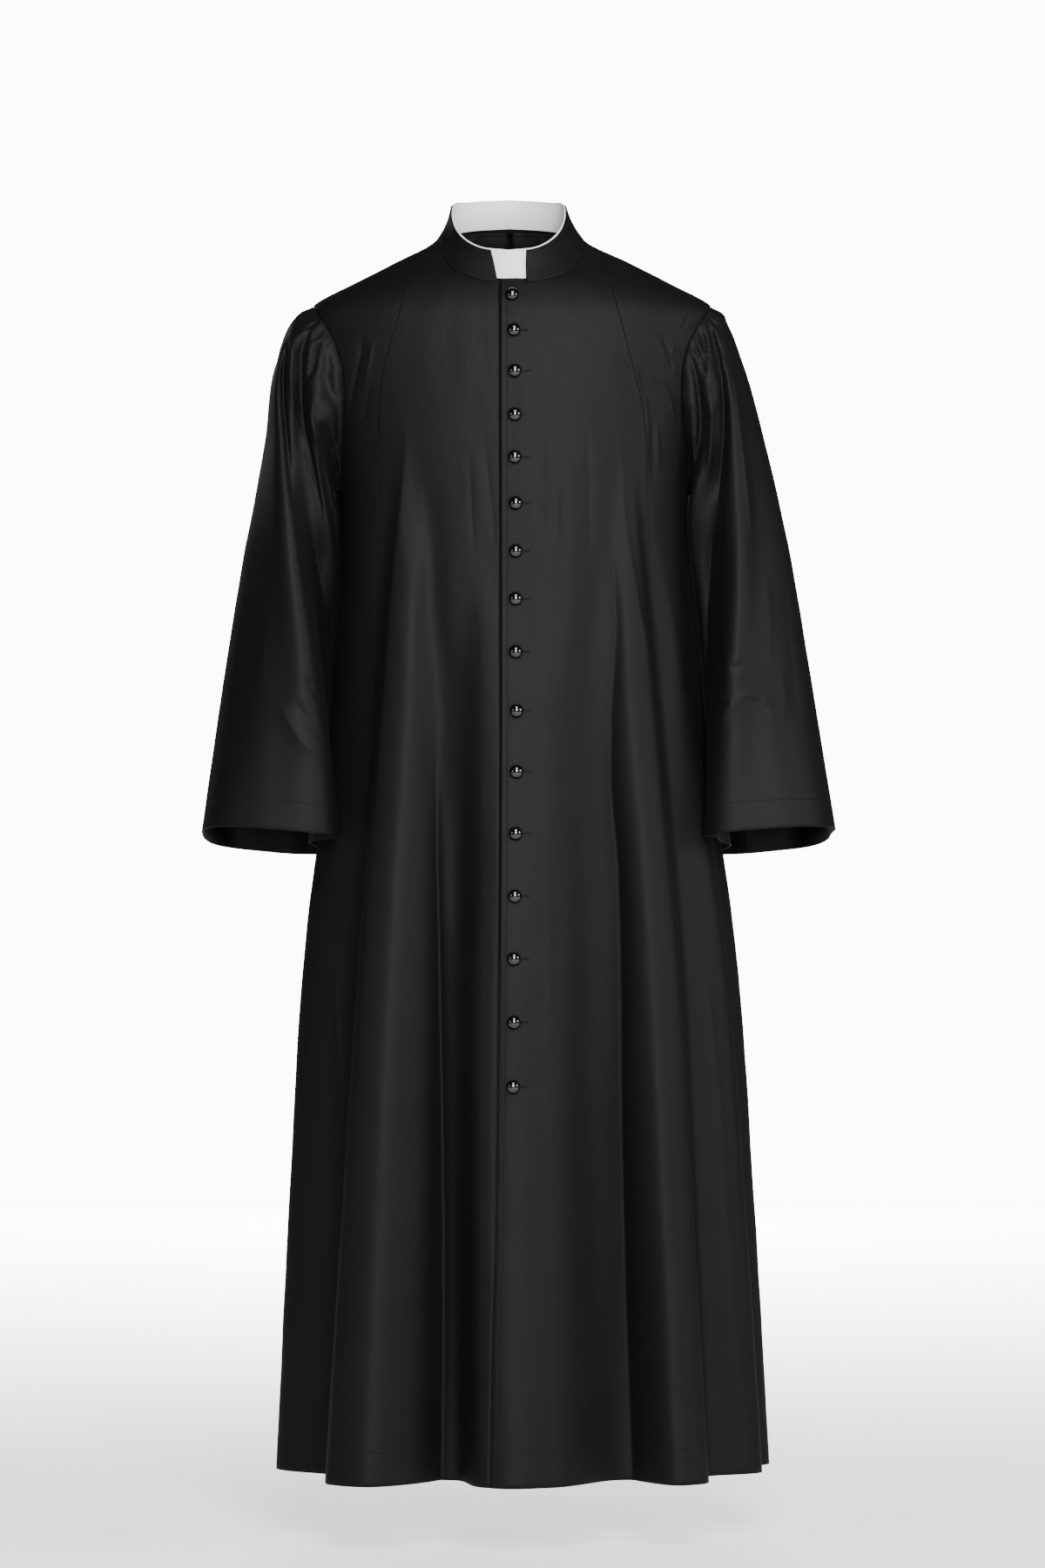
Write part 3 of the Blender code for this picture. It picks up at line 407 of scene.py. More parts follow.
def shoulder_edge(side, start, end, count):
    """Azimuth and height along the shoulder seam, between two distances from the axis."""
    z = shoulder_z(np.linspace(start, end, count + 1))
    return np.stack([np.full(len(z), side * 90.0), z])


def blended(top, bottom, left, right, across, down):
    """Coons patch between four edges, each two numbers by place; left and right run down."""
    across, down = across[None, None, :], down[None, :, None]
    corners = ((1 - across) * ((1 - down) * top[:, :1, None] + down * bottom[:, :1, None])
               + across * ((1 - down) * top[:, -1:, None] + down * bottom[:, -1:, None]))
    return ((1 - down) * top[:, None, :] + down * bottom[:, None, :]
            + (1 - across) * left[:, :, None] + across * right[:, :, None] - corners)


def crowded(count, last=True):
    """Even shares from 0 to 1, with two more close to each sewn end."""
    places = np.concatenate([[0, 0.25, 0.55], np.arange(1.0, count + 1)])
    if last:
        places = np.concatenate([places[:-1], [count - 0.55, count - 0.25, count]])
    return places / count


def panel_places(top, left_edge, right_edge, left_drop, right_drop, by_width=False):
    """Azimuths and heights of a panel's fine grid, from its top edge to the hem."""
    across = crowded(top.shape[1] - 1)
    even = np.linspace(0, 1, top.shape[1])
    top = np.stack([np.interp(across, even, line) for line in top])
    share = crowded(PANEL_ROWS[0], last=False)
    left_z = left_drop(top[1, 0], share)
    right_z = right_drop(top[1, -1], share)
    left = np.stack([left_edge(left_z), left_z])
    right = np.stack([right_edge(right_z), right_z])
    left[:, 0] = top[:, 0]
    right[:, 0] = top[:, -1]
    bottom = np.stack([left[0, -1] + (right[0, -1] - left[0, -1]) * across,
                       np.full(len(across), UNDERARM_Z)])
    edges = (top, bottom, left, right)
    if by_width:
        aside, z = blended(*(np.stack([sideways(*edge), edge[1]]) for edge in edges), across, share)
        azimuth = azimuth_at(aside, z, +1)
    else:
        azimuth, z = blended(*edges, across, share)
    below = np.linspace(UNDERARM_Z, HEM_Z, PANEL_ROWS[1] + 1)[1:]
    low_left, low_right = left_edge(below)[:, None], right_edge(below)[:, None]
    azimuth = np.concatenate([azimuth, low_left + (low_right - low_left) * across])
    z = np.concatenate([z, np.repeat(below[:, None], len(across), axis=1)])
    return azimuth, z


# ---- surface of the sleeves

def armhole_point(side, angle):
    """The armhole seam and the body's normal there, by the angle round it.

    0 is the shoulder, 90 the front and 180 the underarm.
    """
    turn = np.radians(np.asarray(angle, float))
    middle = (SHOULDER_TIP_Z + UNDERARM_Z) / 2
    z = middle + (SHOULDER_TIP_Z - middle) * np.cos(turn)
    front = armhole_azimuth(side, +1, z)
    back = armhole_azimuth(side, -1, z)
    azimuth = np.where(np.sin(turn) >= 0, front, back)
    return body_point(azimuth, z), body_normal(azimuth, z)


def sleeve_seam(side, angle, step=0.5):
    """The sleeve's own edge along the armhole seam, and the cloth's normal there.

    It keeps to the straight lines between the corners of the panels' edges.
    """
    corner = np.linspace(0, 360, ARMHOLE_CORNERS + 1)
    point, normal = armhole_point(side, corner)
    along = armhole_point(side, corner + step)[0] - armhole_point(side, corner - step)[0]
    into_hole = unit(np.cross(normal, along) * side)
    point = point + into_hole * SLEEVE_SEAM
    angle = np.asarray(angle) % 360
    seam = np.stack([np.interp(angle, corner, point[:, k]) for k in range(3)], axis=-1)
    facing = np.stack([np.interp(angle, corner, normal[:, k]) for k in range(3)], axis=-1)
    return seam, facing


def clear_of_body(point, clear, softness=0.003):
    """The point moved straight out from the axis until it is `clear` of the body."""
    x = point[..., 0] - section("centre_x", point[..., 2])
    reach = np.hypot(x, point[..., 1])
    turned = np.degrees(np.arctan2(x, -point[..., 1]))
    azimuth = turned
    for _ in range(3):
        found, body = body_reach(azimuth, point[..., 2])
        azimuth = azimuth + turned - found
    excess = (reach - body - clear) / softness
    moved = body + clear + softness * np.logaddexp(0, excess)
    scale = moved / reach
    out = point.copy()
    out[..., 0] += x * (scale - 1)
    out[..., 1] *= scale
    return out


def fold_value(first, middle, last, share):
    """Value that is `first` at the head, `middle` at the elbow and `last` at the cuff."""
    return smooth(np.array([HEAD_SHARE, ELBOW_SHARE, 1.0]), np.array([first, middle, last]), share)


def gather_seam(angle, share):
    """Angle on the armhole seam at which a gather that passes through this place starts."""
    angle = (angle + 180) % 360 - 180
    hung = np.sign(angle) * np.interp(np.abs(angle), GATHER_FAN["angle"], GATHER_FAN["seam"])
    return angle + (hung - angle) * ease(share / HEAD_SHARE)


def sleeve_relief(side_name, angle, share):
    """How far the sleeve's folds and gathers stand out from its plain rings."""
    relief = np.zeros(np.broadcast(angle, share).shape)
    folds = SLEEVE_FOLDS[side_name]
    for row in zip(*folds.values()):
        head, elbow, cuff, width, out_head, out_elbow, out_cuff = row
        centre = fold_value(head, elbow, cuff, share)
        away = (angle - centre + 180) % 360 - 180
        relief = relief + (fold_value(out_head, out_elbow, out_cuff, share)
                           * np.exp(-(away / width) ** 2))
    relief = relief * ease(share / HEAD_SHARE)
    spacing = (GATHER_LAST - GATHER_FIRST) / GATHERS
    place = (gather_seam(angle, share) - GATHER_FIRST) / spacing
    number = np.floor(place)
    strength = 0.75 + 0.25 * np.sin(2.4 * number + 1.0)     # its own for each gather
    inside = (place > 0) & (place < GATHERS)
    swell = ease(share / GATHER_RISE) * (1 - ease((share - GATHER_RISE) / GATHER_FADE))
    wave = np.sin(np.pi * (place - number)) ** 2 * 2 - 1
    depth = GATHER_DEPTH * (1 - GATHER_FRONT_LOSS * ease(np.sin(np.radians(angle)) / 0.3))
    return relief + np.where(inside, wave * strength + strength - 1, -1) * depth * swell


def plain_sleeve(side_name, side, angle, share, relief):
    rings = SLEEVE_RINGS | SLEEVE_SIDES[side_name]
    ring = {name: smooth(rings["share"], rings[name], share) for name in rings}
    turn = np.radians(angle)
    cosine, sine = np.cos(turn), np.sin(turn)
    power = np.where(sine > 0, ring["front_square"], ring["back_square"])
    round_reach = (np.abs(cosine) ** power + np.abs(sine) ** power) ** (-1 / power)
    inner_x = ring["inner_x"] + ring["wrap"] * ease(-sine)
    half_x = (ring["outer_x"] - inner_x) / 2
    half_z = (ring["outer_z"] - ring["inner_z"]) / 2
    half = np.hypot(half_x, half_z)
    depth = np.where(sine > 0, ring["front"], ring["back"])
    out_x = cosine * (round_reach + relief / half)
    out_y = sine * (round_reach * depth + relief)
    x = (ring["outer_x"] + inner_x) / 2 + half_x * out_x
    z = (ring["outer_z"] + ring["inner_z"]) / 2 + half_z * out_x + ring["tilt"] * sine * round_reach
    return np.stack([side * x, -out_y, z], axis=-1)


def sleeve_point(side_name, angle, share):
    """The sleeve's surface: its rings, drawn in to the armhole seam and kept off the body."""
    side = SIDES[side_name]
    angle, share = np.broadcast_arrays(np.asarray(angle, float), np.asarray(share, float))
    relief = sleeve_relief(side_name, angle, share)
    point = plain_sleeve(side_name, side, angle, share, relief)
    start = plain_sleeve(side_name, side, angle, np.zeros_like(share), np.zeros_like(share))
    hold = (1 - ease(share / HEAD_SHARE))[..., None]
    point = point + (sleeve_seam(side, angle)[0] - start) * hold
    cleared = clear_of_body(point, SLEEVE_CLEAR * ease(share / CLEAR_SHARE))
    return point + (cleared - point) * ease(share / LET_GO_SHARE)[..., None]


def sleeve_normal(side_name, angle, share, turn=0.4, fall=0.002):
    """Outward normal of the sleeve; at the armhole seam it is the body's own."""
    side = SIDES[side_name]
    surface = partial(sleeve_point, side_name)
    around = surface(angle + turn, share) - surface(angle - turn, share)
    upper, lower = np.maximum(share - fall, 0), np.minimum(share + fall, 1)
    down = surface(angle, lower) - surface(angle, upper)
    normal = unit(np.cross(around, down) * side)
    hold = (1 - ease(share / SEAM_SHARE))[..., None]
    return unit(normal * (1 - hold) + sleeve_seam(side, angle)[1] * hold)


# ---- surface of the collar

def collar_point(azimuth, bearing, share):
    """The stand collar, from an azimuth on its seam to a bearing on its top edge."""
    low = body_point(azimuth, neck_seam_z(azimuth))
    turn = np.radians(bearing)
    depth = np.where(np.cos(turn) > 0, COLLAR_TOP_FRONT_DEPTH, COLLAR_TOP_BACK_DEPTH)
    high = np.stack([COLLAR_TOP_X + COLLAR_TOP_HALF_WIDTH * np.sin(turn), -depth * np.cos(turn),
                     smooth(COLLAR_TOP["bearing"], COLLAR_TOP["z"], np.abs(bearing))], axis=-1)
    outward = np.stack([np.sin(turn), -np.cos(turn), np.zeros_like(turn)], axis=-1)
    share = np.asarray(share)[..., None]
    bow = COLLAR_BOW * np.sin(np.pi * np.clip(share, 0, 1))
    return low + (high - low) * share - outward * bow


# ---- creases

# A crease has the share of its length over which it dies away at each end (0 in a seam), the x and
# z in millimetres of places along it, how far the cloth stands out there (below zero it sinks in)
# and its reach to the left and right (or one for both).  A row that is shorter than the places
# holds its last number.
BODY_FRONT_CREASES = (
    (0.1, 0, (-124, -195, -129, -278, -136, -351, -146, -441, -155, -570, -167, -698, -172, -811,
     -177, -892, -185, -1014, -194, -1148, -204, -1261, -210, -1384, -216, -1468), (1.5, 2, 2.5, 3),
     (3, 3.5, 4), (9, 9, 10, 11, 12)),
    (0.15, 0.3, (-96, -250, -94, -379, -99, -441, -92, -544, -89, -647, -88, -749), (-1.5, -3, -5,
     -6, -7, -5), (16, 16, 16, 17, 18), 16),
    (0.2, 0, (-90, -564, -88, -749, -86, -852, -83, -1005, -81, -1158, -81, -1311, -83, -1468), (-7,
     -11, -12, -12, -11, -10, -9), (12, 13, 14), 7),
    (0.2, 0, (-63, -749, -60, -852, -58, -1005, -56, -1158, -56, -1311, -58, -1468), (3, 7, 8, 8, 7,
     6), 16),
    (0.25, 0.25, (-51, -250, -44, -379), -0.8, 4.5),
    (0.25, 0.25, (-33, -234, -18, -379), -0.7, 4.5),
    (0.3, 0.35, (38, -215, 37, -296, 35, -379), -0.7, 4.5),
    (0.3, 0.35, (54, -211, 55, -296, 54, -399), -0.7, 4.5),
    (0.3, 0.35, (88, -213, 92, -296, 91, -399), -0.8, 4.5),
    (0.15, 0.15, (69, -213, 68, -441, 65, -647, 64, -852, 66, -1158), 1.8, 16),
    (0.2, 0, (116, -281, 120, -379, 124, -461, 118, -564, 117, -647, 126, -749, 129, -852, 130,
     -1056, 135, -1260, 143, -1464), (-2, -4, -5, -6, -8, -11, -13, -13, -12, -10), (6, 8, 9, 11,
     13, 15, 16), (6, 8, 9, 10)),
    (0.1, 0, (128, -198, 135, -338, 152, -441, 167, -505, 179, -633, 189, -749, 195, -849, 203,
     -967, 214, -1148, 220, -1260, 225, -1358, 228, -1468), (1.5, 2, 2.2, 2.5), (7, 8, 9, 10), (3,
     3, 3, 3.5)),
    (0.15, 0, (229, -831, 236, -908, 248, -1026, 256, -1148, 268, -1309, 277, -1382, 283, -1456),
     2.4, 8, 3.5),
    (0.3, 0.3, (-213, -838, -205, -995, -196, -1142), 1.6, 4, 5),
    (0.2, 0.3, (-177, -110, -180, -136, -186, -162, -192, -193, -197, -222), (-1.6, -2.3, -2.3, -2,
     -1.6), 4),
    (0.25, 0.35, (-166, -115, -168, -133, -172, -153, -178, -182), 1.4, 3.5, 4),
    (0.3, 0.3, (-168, -172, -173, -195, -179, -218), -1, 3),
    (0.2, 0.3, (142, -135, 152, -172, 160, -211), (1.2, 1.6, 1.4), 2.5, 3),
    (0.2, 0.3, (157, -155, 182, -170, 190, -191, 196, -218), 1.8, 2.6, 3),
    (0.25, 0.3, (176, -106, 186, -131, 194, -160), -2.6, 3.5),
    (0.1, 0.4, (214, -79, 202, -110), -1.2, 2),
    (0.25, 0.3, (195, -118, 190, -136, 196, -164), 1.4, 2.4),
    (0.3, 0.3, (116, -128, 157, -160, 192, -203), -1.4, 3.5),
    (0.25, 0.35, (157, -172, 162, -213, 159, -301), 1.5, 3),
    (0.25, 0.35, (173, -213, 175, -281), 1.4, 3),
    (0.3, 0.3, (167, -203, 168, -296), -1.4, 3),
    (0.2, 0.4, (-14, -75, -6, -85, 4, -91), -1, 2),
    (0.3, 0.3, (-16, -749, -20, -1108, -25, -1321), -1.5, 4.5, 1.5),
)
BODY_BACK_CREASES = (
    (0.12, 0, (-46, -330, -58, -800, -75, -1468), (1.5, 2.5, 3), (6, 7), 5),
    (0.12, 0, (-112, -340, -150, -800, -196, -1468), (1.5, 2.5, 3), (6, 8, 9), (6, 5)),
    (0.12, 0, (110, -320, 146, -800, 187, -1468), (1.5, 2.6, 3), (6, 5), (6, 8, 9)),
    (0.12, 0, (40, -370, 52, -900, 66, -1468), (1.4, 2.4, 3), 5, (6, 7)),
    (0.15, 0, (190, -430, 232, -900, 276, -1468), (1.4, 2.4, 3), 5, (6, 8)),
    (0.15, 0, (-200, -410, -246, -900, -284, -1468), (1.4, 2.4, 3), (6, 8), 5),
    (0.15, 0, (78, -450, 95, -900, 110, -1468), (-2, -4), (9, 11)),
    (0.15, 0, (-84, -430, -104, -900, -122, -1468), (-2, -4), (9, 11)),
    (0.15, 0, (148, -480, 178, -900, 206, -1468), (-2, -3.5, -4), (8, 10)),
    (0.15, 0, (-150, -480, -186, -900, -218, -1468), (-2, -3.5, -4), (8, 10)),
    (0.3, 0.35, (-178, -150, -152, -215, -138, -300), (-2.5, -3.2, -2.5), (5, 6)),
    (0.3, 0.35, (170, -138, 150, -205, 134, -284), (-2.4, -3, -2.4), (5, 6)),
    (0.3, 0.35, (-190, -210, -172, -280, -166, -350), (-2, -2.6, -2), (4, 5)),
    (0.3, 0.35, (186, -196, 170, -262, 160, -330), (-2, -2.6, -2), (4, 5)),
    (0.3, 0.3, (-62, -110, -67, -230, -58, -360), (1.2, 1.8, 1.6), 9),
    (0.3, 0.3, (70, -140, 79, -250, 68, -380), (1.2, 1.8, 1.6), 9),
    (0, 0.5, (34, 14, 42, -48), (-1, -1.2), (3, 4)),
    (0, 0.5, (-48, 12, -60, -40), (-1, -1.2), (3, 4)),
)
SLEEVE_FRONT_CREASES = {
    "left": (
        (0.1, 0.3, (232, -87, 239, -108, 245, -134, 250, -160, 253, -191, 253, -233, 250, -274, 247,
         -315, 245, -347), (-4.3, -8.7, -13, -15, -15, -15, -15, -15, -12.4), (2.5, 4, 6, 7, 8, 8,
         8, 8, 9), (2.5, 3, 4, 5, 5, 5, 5, 5, 6)),
        (0, 0.35, (222, -98, 228, -113, 232, -134, 233, -155), (-5.8, -10.2, -10.2, -7.2), 2.5),
        (0, 0.35, (213, -116, 218, -125, 225, -139, 229, -155, 232, -168), (-5.1, -8.7, -8.7, -8.7,
         -5.8), 2.2),
        (0, 0.25, (206, -130, 215, -141, 220, -160, 224, -186, 226, -212, 225, -233, 221, -258, 216,
         -279, 213, -300), (-4.3, -8.7, -10.2, -13, -13, -13, -13, -11.6, -10.2), (2.5, 4, 5)),
        (0.25, 0.3, (234, -176, 239, -212, 236, -253, 232, -295), (5.8, 7.2, 7.2, 5.8), 5),
        (0.2, 0.3, (263, -134, 268, -181, 272, -222, 276, -253, 280, -295, 284, -336, 287, -378),
         (3.2, 3.2, 3.2, 3.2, 3.2, 2.8, 2.4), 3, 5),
        (0, 0.5, (226, -92, 231, -101), -5.8, 1.8),
        (0.2, 0.5, (235, -85, 247, -103), -5.8, 2),
        (0, 0.5, (208, -123, 214, -132), -5.8, 1.8),
        (0, 0.5, (218, -107, 223, -119), -5.1, 1.8),
        (0.3, 0.12, (259, -233, 256, -295, 253, -357, 251, -419, 252, -481, 255, -528, 260, -546),
         (2.9, 4.3, 4.2, 3.5, 3.5, 3.5, 3), 5, 14),
        (0.2, 0.25, (241, -336, 238, -388, 235, -440, 234, -492, 232, -543), (-12.9, -11.6, -11,
         -11, -9), (11, 11, 11, 10, 9), (8, 8, 9)),
        (0.12, 0.3, (263, -545, 247, -568, 232, -585, 224, -593), (3.4, 4, 3.4, 3), 6, (10, 10, 9)),
        (0.25, 0.35, (263, -547, 280, -541, 297, -543, 307, -556, 311, -583), (3, 2.5, 2.5, 2.5, 2),
         4, 6),
        (0.15, 0.4, (228, -597, 239, -608, 253, -618), (-3, -3, -2), 3),
        (0.15, 0.4, (226, -608, 234, -624, 249, -637), (-2.5, -2.5, -2), 3),
        (0.25, 0.4, (257, -512, 272, -506, 280, -502), -2, 4),
        (0.3, 0.35, (303, -388, 307, -461, 303, -533), (1.6, 1.8, 1.5), 5, 7),
        (0.3, 0.35, (319, -502, 324, -543, 320, -595), (1.4, 1.8, 1.4), 5, 7),
        (0.3, 0.35, (324, -378, 334, -502, 342, -606), (-1.5, -1.4), 10),
    ),
    "right": (
        (0.12, 0.35, (-265, -110, -271, -129, -274, -160, -273, -191, -269, -233, -265, -274, -262,
         -310, -259, -347), (-7.2, -10.2, -13, -13, -11.6, -8.7, -5.6, -3.7), 3, (3, 3, 3.5, 4, 5,
         6)),
        (0.25, 0.35, (-257, -100, -263, -129, -264, -160, -262, -191, -257, -222), 5.8, 4),
        (0.1, 0.3, (-238, -98, -247, -114, -252, -134, -252, -170, -251, -191, -247, -222, -240,
         -253, -234, -284, -228, -315, -224, -347), (-4.3, -8.7, -14.5, -15, -15, -15, -15, -15,
         -13.8, -12.4), (2, 4, 6, 7, 7, 7, 7, 7, 9, 10), (2, 4, 6, 7, 6, 7, 7, 7, 8, 9)),
        (0.15, 0.3, (-228, -116, -234, -129, -238, -150, -242, -168), (-5.8, -10.2, -10.2, -7.2),
         2.5),
        (0.25, 0.35, (-238, -176, -239, -212, -234, -233, -228, -264, -222, -297), (7.2, 8.7, 8.7,
         7.2, 5.8), 4),
        (0.12, 0.5, (-233, -215, -224, -222, -217, -243, -211, -269, -209, -295, -209, -336), (-8.7,
         -13, -14.5, -14.5, -13, -7.7), (4, 6), (3, 5)),
        (0.35, 0.35, (-226, -148, -222, -176, -220, -193), -7.2, 3.4),
        (0.2, 0.3, (-210, -176, -207, -212, -207, -253), -7.2, 3),
        (0.25, 0.35, (-222, -121, -219, -150, -215, -181, -213, -208), (-4.3, -7.2, -7.2, -5.8), 4),
        (0, 0.5, (-238, -86, -247, -95), -5.8, 1.8),
        (0, 0.5, (-234, -94, -244, -104), -5.8, 1.8),
        (0, 0.5, (-229, -105, -240, -121), -5.8, 1.8),
        (0, 0.5, (-222, -121, -227, -133), -5.1, 1.8),
        (0.3, 0.1, (-269, -233, -265, -301, -257, -362, -245, -433, -237, -470, -224, -510, -219,
         -543), (2.2, 4.3, 4.1, 3.5, 3.5, 3.5, 3), 14, 5),
        (0.25, 0.2, (-244, -326, -234, -378, -224, -440, -216, -486, -209, -533), (-10.7, -12.1,
         -11, -11, -8), (9, 11, 11, 9, 7), (12, 12, 12, 10, 8)),
        (0.2, 0.25, (-219, -564, -215, -595, -209, -626, -205, -660, -201, -689), (3, 4, 4, 3, 2),
         12, 4),
        (0.3, 0.3, (-280, -535, -267, -570, -251, -595, -230, -612, -211, -618), (1.5, 2.6, 2.6,
         2.6, 2), (11, 10, 9)),
        (0.3, 0.3, (-259, -543, -244, -570, -226, -591, -211, -602), (-2, -2.6, -3, -2.6), 7),
        (0.25, 0.35, (-244, -518, -234, -539, -217, -556), (-2.4, -3, -2.4), 6),
        (0.3, 0.35, (-298, -378, -294, -461, -298, -543), (1.8, 1.6), 9),
        (0.3, 0.35, (-323, -440, -327, -533, -329, -595), -1.4, 10),
    ),
}
SLEEVE_BACK_CREASES = {
    "left": (
        (0.1, 0.3, (238, -108, 247, -160, 252, -240, 258, -335), (-4, -8, -9, -7), (4, 6, 7, 8)),
        (0, 0.35, (222, -126, 230, -175, 233, -235), (-4, -6, -5), (2.5, 4, 5)),
        (0.25, 0.3, (264, -118, 274, -210, 282, -320, 287, -430), (3, 4, 4, 3), (5, 6, 7, 8)),
        (0.25, 0.3, (226, -250, 238, -330, 247, -430, 252, -520), (-6, -8, -8, -6), (5, 7, 8)),
        (0.25, 0.3, (300, -200, 318, -330, 330, -470), (2, 2.4, 2), (5, 6, 7)),
        (0.3, 0.3, (243, -556, 272, -584, 306, -574), (3, 4, 3), (6, 7, 8)),
        (0.3, 0.3, (252, -530, 286, -550), -4, 6),
        (0.3, 0.35, (330, -520, 338, -600, 341, -668), (1.5, 1.6, 1.4), 8),
    ),
    "right": (
        (0.1, 0.3, (-240, -104, -252, -158, -258, -250, -256, -350), (-4, -8, -9, -7), (4, 6, 7,
         8)),
        (0, 0.35, (-221, -130, -227, -182, -236, -244), (-4, -6, -5), (2.5, 4, 5)),
        (0.25, 0.3, (-268, -126, -278, -220, -280, -330, -292, -445), (3, 4, 4, 3), (5, 6, 7, 8)),
        (0.25, 0.3, (-228, -262, -234, -345, -240, -440, -250, -510), (-6, -8, -8, -6), (5, 7, 8)),
        (0.25, 0.3, (-302, -230, -312, -350, -330, -480), (2, 2.4, 2), (5, 6, 7)),
        (0.3, 0.3, (-240, -560, -268, -590, -300, -582), (3, 4, 3), (6, 7, 8)),
        (0.3, 0.3, (-248, -534, -280, -556), -4, 6),
        (0.3, 0.35, (-322, -530, -334, -610, -333, -672), (1.5, 1.6, 1.4), 8),
    ),
}


def held(values, count):
    """`count` numbers, of which a short row repeats its last one to the end."""
    values = np.atleast_1d(np.array(values, float))
    return np.concatenate([values, np.full(count - len(values), values[-1])])


CREASE_FACING = 0.45        # cloth turned away further than this takes less of a crease
CREASE_BESIDE = 70          # millimetres beside a crease, and
CREASE_BEYOND = 30          # past its ends, where it still counts
CREASE_EDGE = 0.8           # millimetres over which a sharp crease is rounded
SHARP_REACH = 13            # creases narrower than this are sharp,
SOFT_REACH = 16             # those from here on are soft


def crease_relief(points, facing, creases):
    """How far creases lift the cloth, where `facing` says how squarely it faces the viewer."""
    relief = np.zeros(points.shape[:-1])
    x, z = points[..., 0] * 1e3, points[..., 2] * 1e3
    weight = ease(facing / CREASE_FACING)
    for start_fade, end_fade, places, height, *reaches in creases:
        places = np.reshape(np.array(places, float), (-1, 2))
        (west, low), (east, high) = places.min(axis=0), places.max(axis=0)
        near = ((weight > 0) & (x > west - CREASE_BESIDE) & (x < east + CREASE_BESIDE)
                & (z > low - CREASE_BEYOND) & (z < high + CREASE_BEYOND))
        if not near.any():
            continue
        px, pz = x[near], z[near]
        steps = np.diff(places, axis=0)
        lengths = np.linalg.norm(steps, axis=1)
        before = np.concatenate([[0], np.cumsum(lengths)])
        nearest = np.full(px.shape, np.inf)
        along = np.zeros(px.shape)
        side = np.zeros(px.shape)
        for k, (start, step, length) in enumerate(zip(places, steps, lengths)):
            t = ((px - start[0]) * step[0] + (pz - start[1]) * step[1]) / length ** 2
            t = np.clip(t, 0, 1)
            dx, dz = px - start[0] - step[0] * t, pz - start[1] - step[1] * t
            away = np.hypot(dx, dz)
            closer = away < nearest
            nearest = np.where(closer, away, nearest)
            along = np.where(closer, before[k] + length * t, along)
            side = np.where(closer, dx, side)
        height, left, right = (np.interp(along, before, held(row, len(places)))
                               for row in (height, reaches[0], reaches[-1]))
        blend = ease(side / (0.5 * np.minimum(left, right)) + 0.5)
        reach = left + (right - left) * blend
        share = along / before[-1]
        fade = ((ease(share / start_fade) if start_fade else 1.0)
                * (ease((1 - share) / end_fade) if end_fade else 1.0))
        rounded = np.hypot(nearest, CREASE_EDGE) - CREASE_EDGE
        sharp = np.exp(-rounded / reach - (nearest / reach / 2) ** 2)
        soft = np.exp(-(nearest / reach) ** 2)
        softness = ease((np.minimum(left, right) - SHARP_REACH) / (SOFT_REACH - SHARP_REACH))
        profile = sharp + (soft - sharp) * softness
        relief[near] += height * 1e-3 * profile * fade * weight[near]
    return relief


def ripple(u, v, size, seed):
    """Soft uneven waves of about this size, between -1 and 1."""
    waves = 5
    total = np.zeros(np.broadcast(u, v).shape)
    for k in range(waves):      # each runs its own way, with its own length and start
        turn = seed * 1.7 + k * 2.399
        scale = 2 * np.pi / (size * (0.75 + 0.17 * k))
        total += np.sin((u * math.cos(turn) + v * math.sin(turn)) * scale + seed * 5.1 + k * 1.3)
    return total / waves


METRES_A_DEGREE = 0.0037    # round the body
SWELL, SWELL_SIZE = 0.0005, 0.110           # height and size of the cloth's soft waves
PUCKER, PUCKER_SIZE = 0.00012, 0.028        # and of the small ones
SLEEVE_SWELL, SLEEVE_SWELL_SIZE = 0.0004, 0.09


def body_cloth(azimuth, z):
    """Point of the finished cloth and the outward normal there."""
    azimuth, z = np.broadcast_arrays(azimuth, z)
    points, normal = body_point(azimuth, z), body_normal(azimuth, z)
    u = azimuth * METRES_A_DEGREE
    relief = (SWELL * ripple(u * 2.2, z, SWELL_SIZE, 1.0)
              + PUCKER * ripple(u * 1.6, z, PUCKER_SIZE, 2.0))
    moved = points + normal * relief[..., None]
    moved[..., 1] -= crease_relief(points, -normal[..., 1], BODY_FRONT_CREASES)
    moved[..., 1] += crease_relief(points, normal[..., 1], BODY_BACK_CREASES)
    return moved, normal


# ---- meshes

def grid_faces(rows, columns):
    return quads(np.arange(rows * columns).reshape(rows, columns))


def loop_faces(rows, columns, closed=True):
    """Faces of a grid whose last row joins its first; if `closed`, so do its columns."""
    index = np.arange(rows * columns).reshape(rows, columns)
    index = np.concatenate([index, index[:1]])
    if closed:
        index = np.concatenate([index, index[:, :1]], axis=1)
    return quads(index)[:, [0, 3, 2, 1]]


def quads(index):
    return np.stack([index[:-1, :-1], index[1:, :-1], index[1:, 1:], index[:-1, 1:]],
                    axis=-1).reshape(-1, 4)


def add_object(name, data, place=(0, 0, 0)):
    item = bpy.data.objects.new(name, data)
    item.location = place
    bpy.context.scene.collection.objects.link(item)
    return item


def add_piece(name, points, faces, finish, uv=None, replaces=()):
    """A mesh that rides on the part.  `uv` gives two lengths in metres for each point."""
    mesh = bpy.data.meshes.new(name)
    mesh.from_pydata([tuple(p) for p in points], [], [list(face) for face in faces])
    if uv is not None:
        layer = mesh.uv_layers.new(name="metres")
        corner = np.empty(len(mesh.loops), dtype=np.int32)
        mesh.loops.foreach_get("vertex_index", corner)
        layer.data.foreach_set("uv", np.asarray(uv, np.float32)[corner].ravel())
    mesh.shade_smooth()
    mesh.materials.append(finish)
    piece = add_object(name, mesh)
    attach(piece, "root")
    if replaces:
        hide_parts(*replaces)


